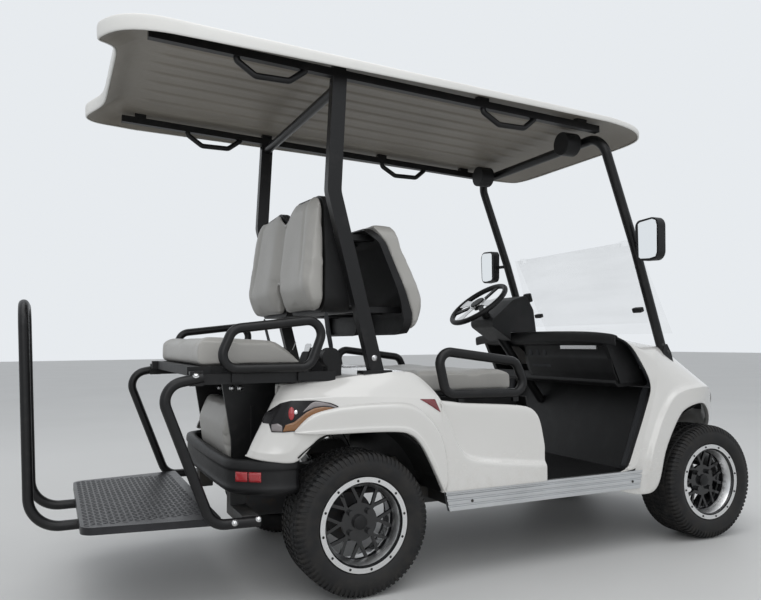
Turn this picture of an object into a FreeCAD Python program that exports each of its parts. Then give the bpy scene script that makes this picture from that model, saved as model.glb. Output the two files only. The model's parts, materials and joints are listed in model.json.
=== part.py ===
import FreeCAD
import Part

import math
import os

V = FreeCAD.Vector

# An electric golf cart with a second seat that faces rearward. Millimetres: +X forward, +Y left, +Z up.
# Stations along X count from the rear axle (the front ones from the front axle), heights from the ground.
# save() moves every solid so that the origin lies on the ground under the middle of the overall length.

# Driving sizes
WHEELBASE = 1753.0
FRONT_OVERHANG = 400.0
REAR_OVERHANG = 1151.0
WHEEL_OUTER_Y = 600.0
TYRE_R = 260.0
TYRE_WIDTH = 215.0
SEAT_GAP = 0.3
RUN_GAP = 0.5
SKIN = 5.0
SEAT_HALF = 460.0

# Wheels
RIM_LIP_R = 171.0
RIM_LIP_RING = 19.0
RIM_WIDTH = 190.0
RIM_WALL = 5.0
DISC_DEPTH = 50.0
DISC_THICK = 14.0
DISC_R = 131.0
HUB_R = 48.0
HUB_LENGTH = 52.0
CAP_R = 27.0
SPOKES = 8
SPOKE_WIDTH = 13.0
SPOKE_FORK_R = 82.0
SPOKE_SPREAD = 12.5
LUG_CIRCLE_R = 50.8
LUG_R = 11.0
LUGS = 4
TREAD_GROOVES = 4
GROOVE_WIDTH = 7.0
GROOVE_DEPTH = 7.0

# Chassis
FRAME_TOP = 320.0
RAIL_HEIGHT = 70.0
RAIL_WIDTH = 60.0
RAIL_Y = 300.0
REAR_RAIL_BOTTOM = 390.0
REAR_RAIL_HEIGHT = 60.0
REAR_RAIL_END = -430.0
FRONT_RAIL_Y = 160.0
FRONT_RAIL_END = 318.0
CROSS_WIDTH = 50.0
KINGPIN_Y = 360.0
KINGPIN_R = 10.0
TIE_ROD_X = -110.0
TIE_ROD_R = 9.0
SPINDLE_R = 20.0
AXLE_R = 36.0
LEAF_Y = 220.0
LEAF_THICK = 22.0
LEAF_WIDTH = 45.0
COIL_R = 27.0
COIL_Y = 238.0
COIL_TOP = 455.0
BEAM_DROP = 40.0
BEAM_R = 25.0
TIE_ROD_DROP = 50.0
LINER_R = 352.0
LINER_WALL = 4.0

# Body
BODY_HALF = 575.0
FLARE_HALF = 597.0
NOSE_HALF = 236.0
NOSE_BOTTOM = 240.0
ARCH_R = 365.0
REAR_BODY_FRONT = 345.0
DECK_Z = 800.0
SEAT_WELL_X = 200.0
SEAT_WELL_HALF = SEAT_HALF + 25
PANEL_FRONT = 825.0
PANEL_THICK = 25.0
PANEL_TOP = 673.0
ROCKER_TOP = 344.0
ROCKER_BOTTOM = 266.0
ROCKER_THICK = 20.0
PAN_WALL = 8.0
FOOTWELL_HALF = 545.0

# Seats
FRONT_SEAT_TOP = 795.0
FRONT_SEAT_FRONT = 760.0
FRONT_HINGE_X = 268.0
BASE_TOP = 700.0
BOARD_THICK = 12.0
HINGE_R = 7.0
HINGE_Z = BASE_TOP + HINGE_R + 0.5
REAR_CUSHION_REAR = -585.0
REAR_CUSHION_FRONT = -173.0
REAR_CUSHION_BOTTOM = 840.0
REAR_CUSHION_TOP = 940.0
REAR_PAN_THICK = 36.0
FLIP_X = -595.0
FLIP_Z = 810.0
FLIP_PIN_R = 8.0
FLIP_ARM_Y = SEAT_HALF + 18
SIDE_RAIL_INNER = SEAT_HALF + 25
SIDE_RAIL_BOTTOM = 778.0
SIDE_RAIL_TOP = 814.0
BACK_TOP = 1515.0
BACK_BOTTOM = 1035.0
BACK_FACE_X = -98.0
BACK_NOTCH = 66.0
BACK_SLOT = 122.0
SHELL_HALF = SEAT_HALF - 5
CALF_X = -345.0

# Struts, roof and rails
STRUT_Y = 500.0
STRUT_THICK = 40.0
STRUT_DEPTH = 56.0
SEAT_TUBES = (1050.0, 1340.0)
SEAT_TUBE_R = 15.0
FRONT_STRUT_R = 22.0
FRONT_STRUT_Y = 506.0
BEAM_X = 1225.0
BEAM_Z = 1850.0
ROOF_EDGE_Z = 2006.0
ROOF_EDGE_X = -743.0
ROOF_FALL = 0.0505
ROOF_CROWN = 42.0
ROOF_HALF = 600.0
ROOF_RIM = 33.0
ROOF_RIM_WIDTH = 30.0
ROOF_SKIN = 8.0
ROOF_RIBS = 9
ROOF_RAIL_Y = 504.0
ROOF_RAIL_SIZE = 30.0
ROOF_RAIL_DROP = 45.0
HANDLE_R = 12.0
RAIL_TUBE_R = 19.0
HIP_RAIL_Y = BODY_HALF - 30
STEP_TUBE_R = 18.0
STEP_TUBE_Y = 530.0
ARM_RAIL_Y = STEP_TUBE_Y + 2
GRAB_R = 18.0
GRAB_Y = 180.0
GRAB_TOP = 1085.0
PLATE_TOP = 322.0
PLATE_DEPTH = 25.0

# Steering
COLUMN_LEAN = 52.7
WHEEL_HUB_X = -706.0
WHEEL_HUB_Y = 270.0
WHEEL_HUB_Z = 1118.0
STEERING_R = 165.0
STEERING_GRIP_R = 14.0
COLUMN_R = 22.0

FRONT_AXLE = WHEELBASE
OVERALL_LENGTH = REAR_OVERHANG + WHEELBASE + FRONT_OVERHANG
REAR_AXLE_FROM_ORIGIN = REAR_OVERHANG - OVERALL_LENGTH / 2
WHEEL_CENTRE_Y = WHEEL_OUTER_Y - TYRE_WIDTH / 2
RIM_OUTER_Y = WHEEL_CENTRE_Y + RIM_WIDTH / 2
DISC_OUTER_Y = RIM_OUTER_Y - DISC_DEPTH
HUB_INNER_Y = DISC_OUTER_Y - DISC_THICK - HUB_LENGTH


def corner(before, here, after):
    """Where an outline leaves and rejoins its straight runs at one point, and the arc between."""
    point = V(*here[:3])
    radius = here[3]
    if radius <= 0:
        return point, None, point
    back = (V(*before[:3]) - point).normalize()
    ahead = (V(*after[:3]) - point).normalize()
    half = back.getAngle(ahead) / 2
    reach = radius / math.tan(half)
    inward = (back + ahead).normalize()
    middle = point + inward * (radius / math.sin(half) - radius)
    first = point + back * reach
    last = point + ahead * reach
    return first, Part.Arc(first, middle, last).toShape(), last


def path(points, closed=False):
    """A wire through points (x, y, z, radius): straight runs joined by tangent arcs."""
    count = len(points)
    corners = []
    for i, here in enumerate(points):
        inner = closed or 0 < i < count - 1
        whole = here if inner else (*here[:3], 0)
        corners.append(corner(points[i - 1], whole, points[(i + 1) % count]))
    edges = []
    for i, (first, arc, last) in enumerate(corners):
        start = corners[i - 1][2]
        if (i or closed) and start.distanceToPoint(first) > 1e-6:
            edges.append(Part.makeLine(start, first))
        if arc:
            edges.append(arc)
    return Part.Wire(edges)


PLACES = {
    "side": lambda a, b, depth: (a, depth, b),
    "plan": lambda a, b, depth: (a, b, depth),
    "front": lambda a, b, depth: (depth, a, b),
}


def outline(view, points, depth):
    """A closed wire at one depth of a view. A point is (across, up) or (across, up, radius)."""
    place = PLACES[view]
    full = [(*place(p[0], p[1], depth), p[2] if len(p) > 2 else 0) for p in points]
    return path(full, closed=True)


def slab(view, points, start, end):
    """An outline of the side, plan or front view, extruded from one depth to another."""
    face = Part.Face(outline(view, points, start))
    return face.extrude(V(*PLACES[view](0, 0, end - start)))


def box(x0, x1, y0, y1, z0, z1):
    return Part.makeBox(x1 - x0, y1 - y0, z1 - z0, V(x0, y0, z0))


def rod(start, end, radius):
    """A round bar between two points."""
    line = V(*end) - V(*start)
    return Part.makeCylinder(radius, line.Length, V(*start), line)


def tube(points, radius):
    """A round bar along a bent line of points (x, y, z, bend radius)."""
    start = V(*points[0][:3])
    ring = Part.Wire(Part.makeCircle(radius, start, V(*points[1][:3]) - start))
    return path(points).makePipeShell([ring], True, False)


def mirrored(shape):
    return shape.mirror(V(0, 0, 0), V(0, 1, 0))


def both(shape):
    """A piece and its mirror image on the other side, fused where they meet."""
    return joined([shape, mirrored(shape)])


def plain(shape):
    """The solids of a result by themselves: one solid, or a compound of several."""
    return shape.Solids[0] if len(shape.Solids) == 1 else Part.makeCompound(shape.Solids)


def joined(shapes):
    return plain(shapes[0].multiFuse(shapes[1:]).removeSplitter()) if len(shapes) > 1 else shapes[0]


def less(shape, *tools):
    """A shape with the tools taken out of it, one after another."""
    for tool in tools:
        shape = plain(shape.cut(tool))
    return shape


def within(shape, *limits):
    """What a shape shares with each of the limits."""
    for limit in limits:
        shape = plain(shape.common(limit))
    return shape


def save(name, shape):
    placed = shape.copy()
    placed.translate(V(REAR_AXLE_FROM_ORIGIN, 0, 0))
    placed.exportStep("parts/" + name + ".step")


def roof_z(x):
    """Height of the roof's outer edge at a station: the roof falls gently forward."""
    return ROOF_EDGE_Z - (x - ROOF_EDGE_X) * ROOF_FALL


def lofted(sections):
    """A ruled skin through the closed sections of a table, front or rear body."""
    return Part.makeLoft([Part.makePolygon(s + s[:1]) for s in sections], True, True)


def body_sections(table, bottom, inset, ends):
    """Cross-sections of a body panel: bottom, side, shoulder and deck corners, inset by the skin.

    Columns of the table: station, deck height, deck half-width, shoulder height, side half-width.
    """
    sections = []
    for i, (x, deck_z, deck_half, shoulder_z, side_half) in enumerate(table):
        shift = ends[0] if i == 0 else ends[1] if i == len(table) - 1 else 0
        half = [(side_half - inset, bottom - inset), (side_half - inset, shoulder_z - inset / 2),
                (deck_half - inset / 2, deck_z - inset)]
        right = [V(x + shift, -y, z) for y, z in half]
        left = [V(x + shift, y, z) for y, z in reversed(half)]
        sections.append(right + left)
    return sections


# Columns: station, deck height, deck half-width, shoulder height, side half-width
REAR_TABLE = [
    (-434, 540, 470, 530, 490),
    (-379, 673, 480, 600, 535),
    (-330, 722, 485, 655, 560),
    (-80, 765, 505, 690, BODY_HALF),
    (60, DECK_Z, 525, 700, BODY_HALF),
    (REAR_BODY_FRONT, DECK_Z, 525, 700, BODY_HALF),
]
REAR_FLARE = [(-434, 470, 0), (-434, 533, 0), (-330, 640, 60), (-215, 668, 60), (190, 668, 90),
              (300, 600, 90), (REAR_BODY_FRONT, 400, 0), (REAR_BODY_FRONT, 330, 0)]
REAR_ARCH = [(-480, 0, 0), (-480, 528, 0), (-262, 497, 0), (-180, 588, 60), (150, 588, 90),
             (250, 525, 120), (338, 330, 0), (338, 0, 0)]
TAIL_LAMP = [(-386, 640, 0), (-262, 604, 25), (-180, 640, 60), (-78, 671, 0), (-183, 716, 90), (-320, 706, 60)]


def rear_body_solids():
    """The rear cowl's outer and inner forms, before the openings are cut."""
    outer = lofted(body_sections(REAR_TABLE, 330, 0, (0, 0)))
    flare = slab("side", REAR_FLARE, -FLARE_HALF, FLARE_HALF)
    inner = lofted(body_sections(REAR_TABLE, 330, SKIN, (SKIN, 2 * SKIN)))
    lowered = [(x, z - 2 * SKIN, r) for x, z, r in REAR_FLARE]
    hollow = slab("side", lowered, SKIN - FLARE_HALF, FLARE_HALF - SKIN)
    return joined([outer, flare]), joined([inner, hollow])


def tail_lamp_block(grow):
    """The lamp's swept outline, through one rear corner of the body."""
    points = [(x, z, r) for x, z, r in TAIL_LAMP]
    wire = outline("side", points, 430)
    if grow:
        wire = wire.makeOffset2D(grow)
    return Part.Face(wire).extrude(V(0, FLARE_HALF - 430 + 20, 0))


def rear_body():
    outer, inner = rear_body_solids()
    arch = slab("side", REAR_ARCH, -FLARE_HALF - 5, FLARE_HALF + 5)
    seat_bay = box(-500, -130, -390, 390, 0, DECK_Z + 50)
    well = box(SEAT_WELL_X, REAR_BODY_FRONT + 50, -SEAT_WELL_HALF, SEAT_WELL_HALF, 0, DECK_Z + 50)
    under = box(-200, REAR_BODY_FRONT + 50, -FLARE_HALF - 5, FLARE_HALF + 5, 0, ROCKER_TOP)
    slope = [(250, DECK_Z + 5), (REAR_BODY_FRONT + 5, 688), (REAR_BODY_FRONT + 5, DECK_Z + 5)]
    front_edge = slab("side", slope, -FLARE_HALF, FLARE_HALF)
    return less(outer, inner, arch, seat_bay, well, under, front_edge, both(tail_lamp_block(SEAT_GAP)))


def tail_lamps():
    """Lamps flush with the body's corner, 30 mm deep."""
    outer, inner = rear_body_solids()
    core = slab("side", [(x, z - 30, r) for x, z, r in REAR_FLARE], 30 - FLARE_HALF, FLARE_HALF - 30)
    depths = lofted(body_sections(REAR_TABLE, 330, 30, (30, 0)))
    return both(less(within(tail_lamp_block(0), outer), core, depths))


def side_panel(side):
    """The panel below the front seat: a plain upper field over a proud lower one with a curved ledge."""
    y0 = BODY_HALF - PANEL_THICK
    field = [(REAR_BODY_FRONT + SEAT_GAP, ROCKER_TOP), (REAR_BODY_FRONT + SEAT_GAP, PANEL_TOP),
             (735, PANEL_TOP, 0), (792, 635, 30), (PANEL_FRONT, ROCKER_TOP)]
    ledge = [(REAR_BODY_FRONT + SEAT_GAP, ROCKER_TOP, 0), (REAR_BODY_FRONT + SEAT_GAP, 560, 0),
             (420, 470, 90), (813, 442, 0), (PANEL_FRONT, ROCKER_TOP, 0)]
    panel = joined([slab("side", field, y0, BODY_HALF), slab("side", ledge, y0, BODY_HALF + 12)])
    return panel if side > 0 else mirrored(panel)


# Columns as in REAR_TABLE, with stations from the front axle
FRONT_TABLE = [
    (-603, 948, 500, 930, 560),
    (-400, 985, 440, 868, BODY_HALF),
    (-240, 1000, 400, 800, BODY_HALF),
    (-90, 940, 360, 722, 572),
    (30, 880, 320, 690, 510),
    (170, 790, 270, 650, 400),
    (280, 700, 235, 610, 310),
    (345, 600, 215, 540, 245),
    (365, 480, 205, 450, 232),
]
FRONT_FLARE = [(-400, NOSE_BOTTOM, 0), (-340, 470, 90), (-190, 660, 110), (60, 706, 140), (230, 610, 110),
               (285, 480, 60), (285, 300, 0), (200, NOSE_BOTTOM, 0)]
FLARE_PLAN = [(-450, FLARE_HALF), (-110, FLARE_HALF, 120), (60, 500, 60), (180, 400, 60), (290, 310)]
HEADLAMP = [(225, 640, 20), (300, 690, 30), (470, 690, 0), (500, 640, 20), (400, 600, 30)]
OPENING_EDGE = [(-603, 945), (-283, 702), (-443, ROCKER_TOP)]
SILL_NOTCH = [(-398, ROCKER_TOP), (-415, ROCKER_BOTTOM - 4), (-415, 0)]


def from_front(points):
    """Stations counted from the front axle, turned into stations from the rear one."""
    return [(FRONT_AXLE + p[0], *p[1:]) for p in points]


def front_cowl_solids():
    table = from_front(FRONT_TABLE)
    outer = lofted(body_sections(table, NOSE_BOTTOM, 0, (0, 0)))
    taper = from_front(FLARE_PLAN)
    sweep = slab("plan", taper + [(p[0], -p[1], *p[2:]) for p in reversed(taper)], 0, DECK_Z)
    flare = within(slab("side", from_front(FRONT_FLARE), -FLARE_HALF, FLARE_HALF), sweep)
    inner = lofted(body_sections(table, NOSE_BOTTOM, SKIN, (-2 * SKIN, -SKIN)))
    inset = [(x, z - 2 * SKIN, r) for x, z, r in from_front(FRONT_FLARE)]
    tight = [(x - SKIN, y - SKIN, *r) for x, y, *r in taper]
    inner_sweep = slab("plan", tight + [(p[0], -p[1], *p[2:]) for p in reversed(tight)], 0, DECK_Z)
    hollow = within(slab("side", inset, SKIN - FLARE_HALF, FLARE_HALF - SKIN), inner_sweep)
    return joined([outer, flare]), joined([inner, hollow])


def headlamp_block(grow):
    wire = outline("front", HEADLAMP, FRONT_AXLE + 100)
    if grow:
        wire = wire.makeOffset2D(grow)
    return Part.Face(wire).extrude(V(FRONT_OVERHANG, 0, 0))


def front_arches():
    """The wheel openings: outboard of the tyres' inner sweep, so that the wheels can steer."""
    return both(rod((FRONT_AXLE, NOSE_HALF, TYRE_R), (FRONT_AXLE, FLARE_HALF + 5, TYRE_R), ARCH_R))


def front_cowl():
    outer, inner = front_cowl_solids()
    arch = front_arches()
    below = box(FRONT_AXLE - 300, FRONT_AXLE + 400, -FLARE_HALF - 5, FLARE_HALF + 5, 0, 390)
    doorway = slab("side", from_front([*OPENING_EDGE, *SILL_NOTCH, (-900, 0), (-900, 945)]),
                   -FLARE_HALF - 5, FLARE_HALF + 5)
    dash_bay = box(FRONT_AXLE - 700, FRONT_AXLE - 350, -500, 500, 0, 1100)
    return less(outer, inner, arch, below, doorway, dash_bay, both(headlamp_block(SEAT_GAP)))


def headlamps():
    outer, inner = front_cowl_solids()
    core = lofted(body_sections(from_front(FRONT_TABLE), NOSE_BOTTOM, 35, (0, -35)))
    return both(less(within(headlamp_block(0), outer), core, front_arches()))


def front_bumper():
    """A wrapped bar below the nose, held on the frame's front end."""
    front = FRONT_AXLE + FRONT_OVERHANG
    back = front - 46
    bar = [(back, -440, 8), (front - 20, -430, 12), (front, -300, 60), (front, 300, 60), (front - 20, 430, 12),
           (back, 440, 8)]
    mounts = both(box(FRONT_AXLE + FRONT_RAIL_END + SEAT_GAP, back + 5, FRONT_RAIL_Y - 25, FRONT_RAIL_Y + 25,
                      FRAME_TOP - RAIL_HEIGHT + 5, FRAME_TOP - 5))
    return joined([slab("plan", bar, 250, 388), mounts])


def chassis_frame():
    side_rail = [(REAR_RAIL_END, REAR_RAIL_BOTTOM), (215, REAR_RAIL_BOTTOM), (330, FRAME_TOP - RAIL_HEIGHT),
                 (1360, FRAME_TOP - RAIL_HEIGHT), (1360, FRAME_TOP), (370, FRAME_TOP),
                 (250, REAR_RAIL_BOTTOM + REAR_RAIL_HEIGHT),
                 (REAR_RAIL_END, REAR_RAIL_BOTTOM + REAR_RAIL_HEIGHT)]
    inner_y = RAIL_Y - RAIL_WIDTH / 2
    outer_y = RAIL_Y + RAIL_WIDTH / 2
    pieces = [slab("side", side_rail, inner_y, outer_y)]
    low = FRONT_RAIL_Y - RAIL_WIDTH / 2
    high = FRONT_RAIL_Y + RAIL_WIDTH / 2
    neck = [(1290, outer_y), (1290, inner_y), (1375, low), (FRONT_AXLE + FRONT_RAIL_END, low),
            (FRONT_AXLE + FRONT_RAIL_END, high), (1405, high), (1320, outer_y)]
    pieces.append(slab("plan", neck, FRAME_TOP - RAIL_HEIGHT, FRAME_TOP))
    outriggers = ((400, BODY_HALF - PANEL_THICK), (1240, BODY_HALF - PANEL_THICK))
    for x, reach in outriggers:
        pieces.append(box(x, x + CROSS_WIDTH, outer_y - 5, reach, FRAME_TOP - 50, FRAME_TOP))
    hanger = box(REAR_RAIL_END, REAR_RAIL_END + 60, inner_y, outer_y, PLATE_TOP - 40, REAR_RAIL_BOTTOM)
    pieces.append(hanger)
    pieces.append(box(REAR_RAIL_END, REAR_RAIL_END + 60, outer_y - 5, STEP_TUBE_Y - STEP_TUBE_R - SEAT_GAP,
                      PLATE_TOP - 40, PLATE_TOP))
    tower_top = COIL_TOP + 20
    pieces.append(box(FRONT_AXLE - 30, FRONT_AXLE + 30, low, high, FRAME_TOP - 5, tower_top))
    pieces.append(box(FRONT_AXLE - 30, FRONT_AXLE + 30, low, COIL_Y + COIL_R, COIL_TOP, tower_top))
    crosses = ((REAR_RAIL_END, inner_y, REAR_RAIL_BOTTOM, REAR_RAIL_HEIGHT),
               (330, inner_y, FRAME_TOP - RAIL_HEIGHT, RAIL_HEIGHT), (700, inner_y, FRAME_TOP - 50, 50),
               (1310, inner_y, FRAME_TOP - RAIL_HEIGHT, RAIL_HEIGHT),
               (FRONT_AXLE + FRONT_RAIL_END - CROSS_WIDTH, low, FRAME_TOP - RAIL_HEIGHT, RAIL_HEIGHT))
    cross_members = []
    for x, reach, z, height in crosses:
        cross_members.append(box(x, x + CROSS_WIDTH, -reach - 5, reach + 5, z, z + height))
    return joined([both(piece) for piece in pieces] + cross_members)


FOOTWELL = [(745, 690), (815, FRAME_TOP), (1360, FRAME_TOP), (1500, 700), (1480, 785)]


def inset_line(points, wall):
    """The same open line, moved by a wall's thickness to its left."""
    moved = []
    for i, (x, z) in enumerate(points):
        normals = []
        for a, b in zip(points, points[1:]):
            if (x, z) in (a, b):
                length = math.hypot(b[0] - a[0], b[1] - a[1])
                normals.append(((a[1] - b[1]) / length, (b[0] - a[0]) / length))
        nx = sum(n[0] for n in normals)
        nz = sum(n[1] for n in normals)
        scale = wall * 2 / (nx * nx + nz * nz) if len(normals) > 1 else wall
        moved.append((x + nx * scale, z + nz * scale))
    return moved


def floor_pan():
    """The black tray: seat riser, floor and firewall, with a trim frame round each doorway."""
    inner = inset_line(FOOTWELL, PAN_WALL)
    tray = slab("side", FOOTWELL + inner[::-1], -FOOTWELL_HALF, FOOTWELL_HALF)
    edge = from_front(OPENING_EDGE)
    trim = edge + [(x - 44, z) for x, z in reversed(edge)]
    frame = slab("side", trim, FOOTWELL_HALF, BODY_HALF - SKIN - 1)
    return joined([tray, both(frame)])


def ahead_of_firewall():
    """All that lies forward of the firewall's inner face."""
    face = inset_line(FOOTWELL, PAN_WALL)[2:]
    return slab("side", face + [(face[-1][0], 1200), (1800, 1200), (1800, FRAME_TOP)], -600, 600)


def dashboard():
    """A padded top roll, the fascia under it, a parcel shelf and two cheeks."""
    roll = [(1218, 950, 12), (1235, 966, 12), (1398, 966, 0), (1398, 925, 0), (1300, 895, 20), (1235, 905, 20)]
    fascia = [(1385, 930, 0), (1398, 930, 0), (1452, 860, 0), (1492, 715, 0), (1476, 715, 0), (1438, 855, 0)]
    shelf = [(1290, 722, 8), (1302, 760, 0), (1310, 730, 0), (1490, 730, 0), (1490, 712, 0), (1310, 706, 8)]
    cheek = [(1218, 950), (1398, 966), (1398, 905), (1446, 728), (1310, 722), (1232, 905)]
    pieces = [slab("side", roll, -495, 495), slab("side", fascia, -400, 400), slab("side", shelf, -480, 480),
              both(slab("side", cheek, 470, 495))]
    return less(joined(pieces), ahead_of_firewall())


COLUMN_AXIS = V(-math.cos(math.radians(COLUMN_LEAN)), 0, math.sin(math.radians(COLUMN_LEAN)))
WHEEL_CENTRE = V(FRONT_AXLE + WHEEL_HUB_X, WHEEL_HUB_Y, WHEEL_HUB_Z)


def along_column(distance):
    """A point on the steering axis, counted down from the steering wheel's middle."""
    return WHEEL_CENTRE - COLUMN_AXIS * distance


def steering_column():
    """A shroud round the column below the wheel, and the column down to the firewall."""
    shroud = [(1042, 1012, 30), (1205, 905, 40), (1330, 967, 0), (1345, 967, 0), (1330, 1085, 40),
              (1285, 1165, 20), (1200, 1140, 40)]
    pod = slab("side", shroud, WHEEL_HUB_Y - 105, WHEEL_HUB_Y + 105)
    line = COLUMN_AXIS * -1
    column = Part.makeCylinder(COLUMN_R, 620, along_column(45), line)
    stub = Part.makeCylinder(COLUMN_R - 8, 40, along_column(18), line)
    dash_cut = box(1180, 1500, 0, 500, 700, 967)
    return joined([less(pod, dash_cut), less(column, ahead_of_firewall(), dashboard()), stub])


def steering_wheel():
    """A rim, a hub and three flat spokes, square to the column."""
    rim = Part.makeTorus(STEERING_R, STEERING_GRIP_R, V(0, 0, 0), V(0, 0, 1))
    hub = Part.makeCylinder(34, 26, V(0, 0, -17))
    spokes = []
    for turn in (0, 120, 240):
        spoke = box(20, STEERING_R - 4, -13, 13, -6, 3)
        spokes.append(spoke.rotate(V(0, 0, 0), V(0, 0, 1), turn))
    wheel = joined([rim, hub] + spokes)
    wheel.rotate(V(0, 0, 0), V(0, 1, 0), COLUMN_LEAN - 90)
    wheel.translate(WHEEL_CENTRE)
    return wheel


def rocker_strips():
    """A ribbed extrusion along each sill, its ends cut to the panels' slopes."""
    y0 = BODY_HALF - PANEL_THICK
    y1 = y0 + ROCKER_THICK
    rib = 5
    section = [(y0, ROCKER_BOTTOM), (y1, ROCKER_BOTTOM)]
    for i in range(3):
        low = ROCKER_BOTTOM + 14 + i * 22
        section += [(y1, low), (y1 - rib, low + 3), (y1 - rib, low + 7), (y1, low + 10)]
    section += [(y1, ROCKER_TOP - SEAT_GAP), (y0, ROCKER_TOP - SEAT_GAP)]
    strip = slab("front", section, 340, 1360)
    ends = slab("side", [(364, ROCKER_BOTTOM), (1336, ROCKER_BOTTOM), (1353, ROCKER_TOP), (348, ROCKER_TOP)],
                y0 - 5, y1 + 5)
    return both(within(strip, ends))


def rear_bumper():
    """A wrapped bar in three facets a side, with a tucked lower edge."""
    side = BODY_HALF - 19
    wall = 14
    half = [(-476, -180, 0), (-462, -440, 40), (-352, 24 - side, 30), (-235, -side, 0)]
    inset = [(-476 + wall, -180, 0), (-450, -430, 30), (-346, 24 - side + wall, 20), (-235, wall - side, 0)]
    outer = half[::-1] + [(x, -y, radius) for x, y, radius in half]
    inner = inset[::-1] + [(x, -y, radius) for x, y, radius in inset]
    bar = slab("plan", outer + inner[::-1], 372, 500)
    tuck = slab("side", [(-520, 300), (-200, 300), (-200, 360), (-455, 400), (-520, 500)], -600, 600)
    shelf = box(-462, -430 - SEAT_GAP, -260, 260, 400, 440)
    return joined([less(bar, tuck), shelf])


def front_seat_base():
    """An open box round the battery bay, with a rim that carries the hinged seat board."""
    half = SEAT_WELL_HALF - 5
    back = 376
    riser = [(back, FRAME_TOP), (FOOTWELL[1][0] - 1, FRAME_TOP), (FOOTWELL[0][0] - 3, BASE_TOP),
             (back, BASE_TOP)]
    outer = slab("side", riser, -half, half)
    bay = box(back + 8, 725, 8 - half, half - 8, FRAME_TOP - 1, BASE_TOP + 1)
    rim = box(SEAT_WELL_X + 5, back + 5, -half, half, BASE_TOP - 8, BASE_TOP)
    knuckle = rod((FRONT_HINGE_X, 200, HINGE_Z), (FRONT_HINGE_X, 260, HINGE_Z), HINGE_R)
    stand = box(FRONT_HINGE_X - HINGE_R, FRONT_HINGE_X + HINGE_R, 200, 260, BASE_TOP - 2, HINGE_Z)
    return joined([less(outer, bay), rim, both(knuckle), both(stand)])


def front_seat_board():
    """The hinged board under the front cushion, with two hinge leaves."""
    z0 = BASE_TOP + RUN_GAP
    rear = FRONT_HINGE_X + 12
    board = box(rear, FRONT_SEAT_FRONT - 12, 8 - SEAT_HALF, SEAT_HALF - 8, z0, z0 + BOARD_THICK)
    leaf = box(FRONT_HINGE_X, rear + 2, 260 + RUN_GAP, 330, HINGE_Z - 4, z0 + BOARD_THICK)
    barrel = rod((FRONT_HINGE_X, 260 + RUN_GAP, HINGE_Z), (FRONT_HINGE_X, 330, HINGE_Z), HINGE_R)
    return joined([board, both(joined([leaf, barrel]))])


def front_seat_cushion():
    z0 = BASE_TOP + RUN_GAP + BOARD_THICK + SEAT_GAP
    profile = [(FRONT_HINGE_X + 12, z0, 8), (FRONT_HINGE_X + 12, FRONT_SEAT_TOP + 4, 22),
               (560, FRONT_SEAT_TOP - 6, 0), (FRONT_SEAT_FRONT, FRONT_SEAT_TOP, 30), (FRONT_SEAT_FRONT, z0, 12)]
    return slab("side", profile, -SEAT_HALF, SEAT_HALF)


def lobes(top, bottom, low_half):
    """Front view of a seat back: two rounded lobes with a notch above and a slot below."""
    notch_top = top - BACK_NOTCH
    slot_top = bottom + BACK_SLOT
    top_half = low_half - 20
    half = [(50, notch_top + 22, 0), (120, top, 70), (top_half, top - 14, 75), (low_half, bottom + 200, 120),
            (low_half - 8, bottom, 70), (40, bottom, 25), (18, slot_top, 12)]
    return [(0, notch_top, 0)] + half + [(-y, z, radius) for y, z, radius in reversed(half)]


def rear_back_cushion():
    seam_x = BACK_FACE_X - SEAT_GAP
    side = [(-138, BACK_BOTTOM, 22), (-170, BACK_BOTTOM + 100, 80), (-128, BACK_TOP - 55, 60),
            (-113, BACK_TOP, 12), (seam_x, BACK_TOP, 0), (seam_x, BACK_BOTTOM, 0)]
    front = lobes(BACK_TOP, BACK_BOTTOM, SEAT_HALF)
    return within(slab("side", side, -SEAT_HALF, SEAT_HALF), slab("front", front, -250, 50))


def back_tube_x(z):
    """Station of the rear strut's middle line at a height, below its bend."""
    return 88 - (z - DECK_Z) * 0.2516


def rear_back_shell():
    gap = SEAT_TUBE_R + 3 * SEAT_GAP
    top = BACK_TOP - 8
    upper_x = back_tube_x(SEAT_TUBES[1]) - gap
    side = [(BACK_FACE_X, BACK_BOTTOM), (back_tube_x(BACK_BOTTOM) - gap, BACK_BOTTOM, 12),
            (upper_x, SEAT_TUBES[1], 0), (upper_x, top, 14), (BACK_FACE_X, top)]
    return within(slab("side", side, -SHELL_HALF, SHELL_HALF),
                  slab("front", lobes(top, BACK_BOTTOM, SHELL_HALF), -150, 150))


# Side view of the seam between the front back's leather and its shell, and of the shell's open rear rim
BACK_SEAM = [(106, 1388, 0), (164, 1312, 60), (247, 1108, 200), (273, 1031, 60), (267, 955, 0)]
BACK_RIM = [(225, 948, 0), (238, 1000, 60), (217, 1097, 200), (134, 1314, 60), (80, 1362, 0)]
FRONT_BACK_TOP = 1412.0
FRONT_BACK_BOTTOM = 948.0


def front_back_shell():
    """A shallow pan behind the leather, open to the rear."""
    pan = within(slab("side", BACK_SEAM + BACK_RIM, -SHELL_HALF, SHELL_HALF),
                 slab("front", lobes(BACK_SEAM[0][1], FRONT_BACK_BOTTOM, SHELL_HALF), -50, 350))
    floor = [(x - PAN_WALL, z, radius) for x, z, radius in BACK_SEAM]
    behind = [(floor[-1][0], FRONT_BACK_BOTTOM - 50, 0), (-50, FRONT_BACK_BOTTOM - 50, 0),
              (-50, FRONT_BACK_TOP + 50, 0), (floor[0][0], FRONT_BACK_TOP + 50, 0)]
    wall = outline("front", lobes(BACK_SEAM[0][1], FRONT_BACK_BOTTOM, SHELL_HALF), -50).makeOffset2D(-PAN_WALL)
    hollow = within(slab("side", floor + behind, -SHELL_HALF, SHELL_HALF),
                    Part.Face(wall).extrude(V(400, 0, 0)))
    return less(pan, hollow)


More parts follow.
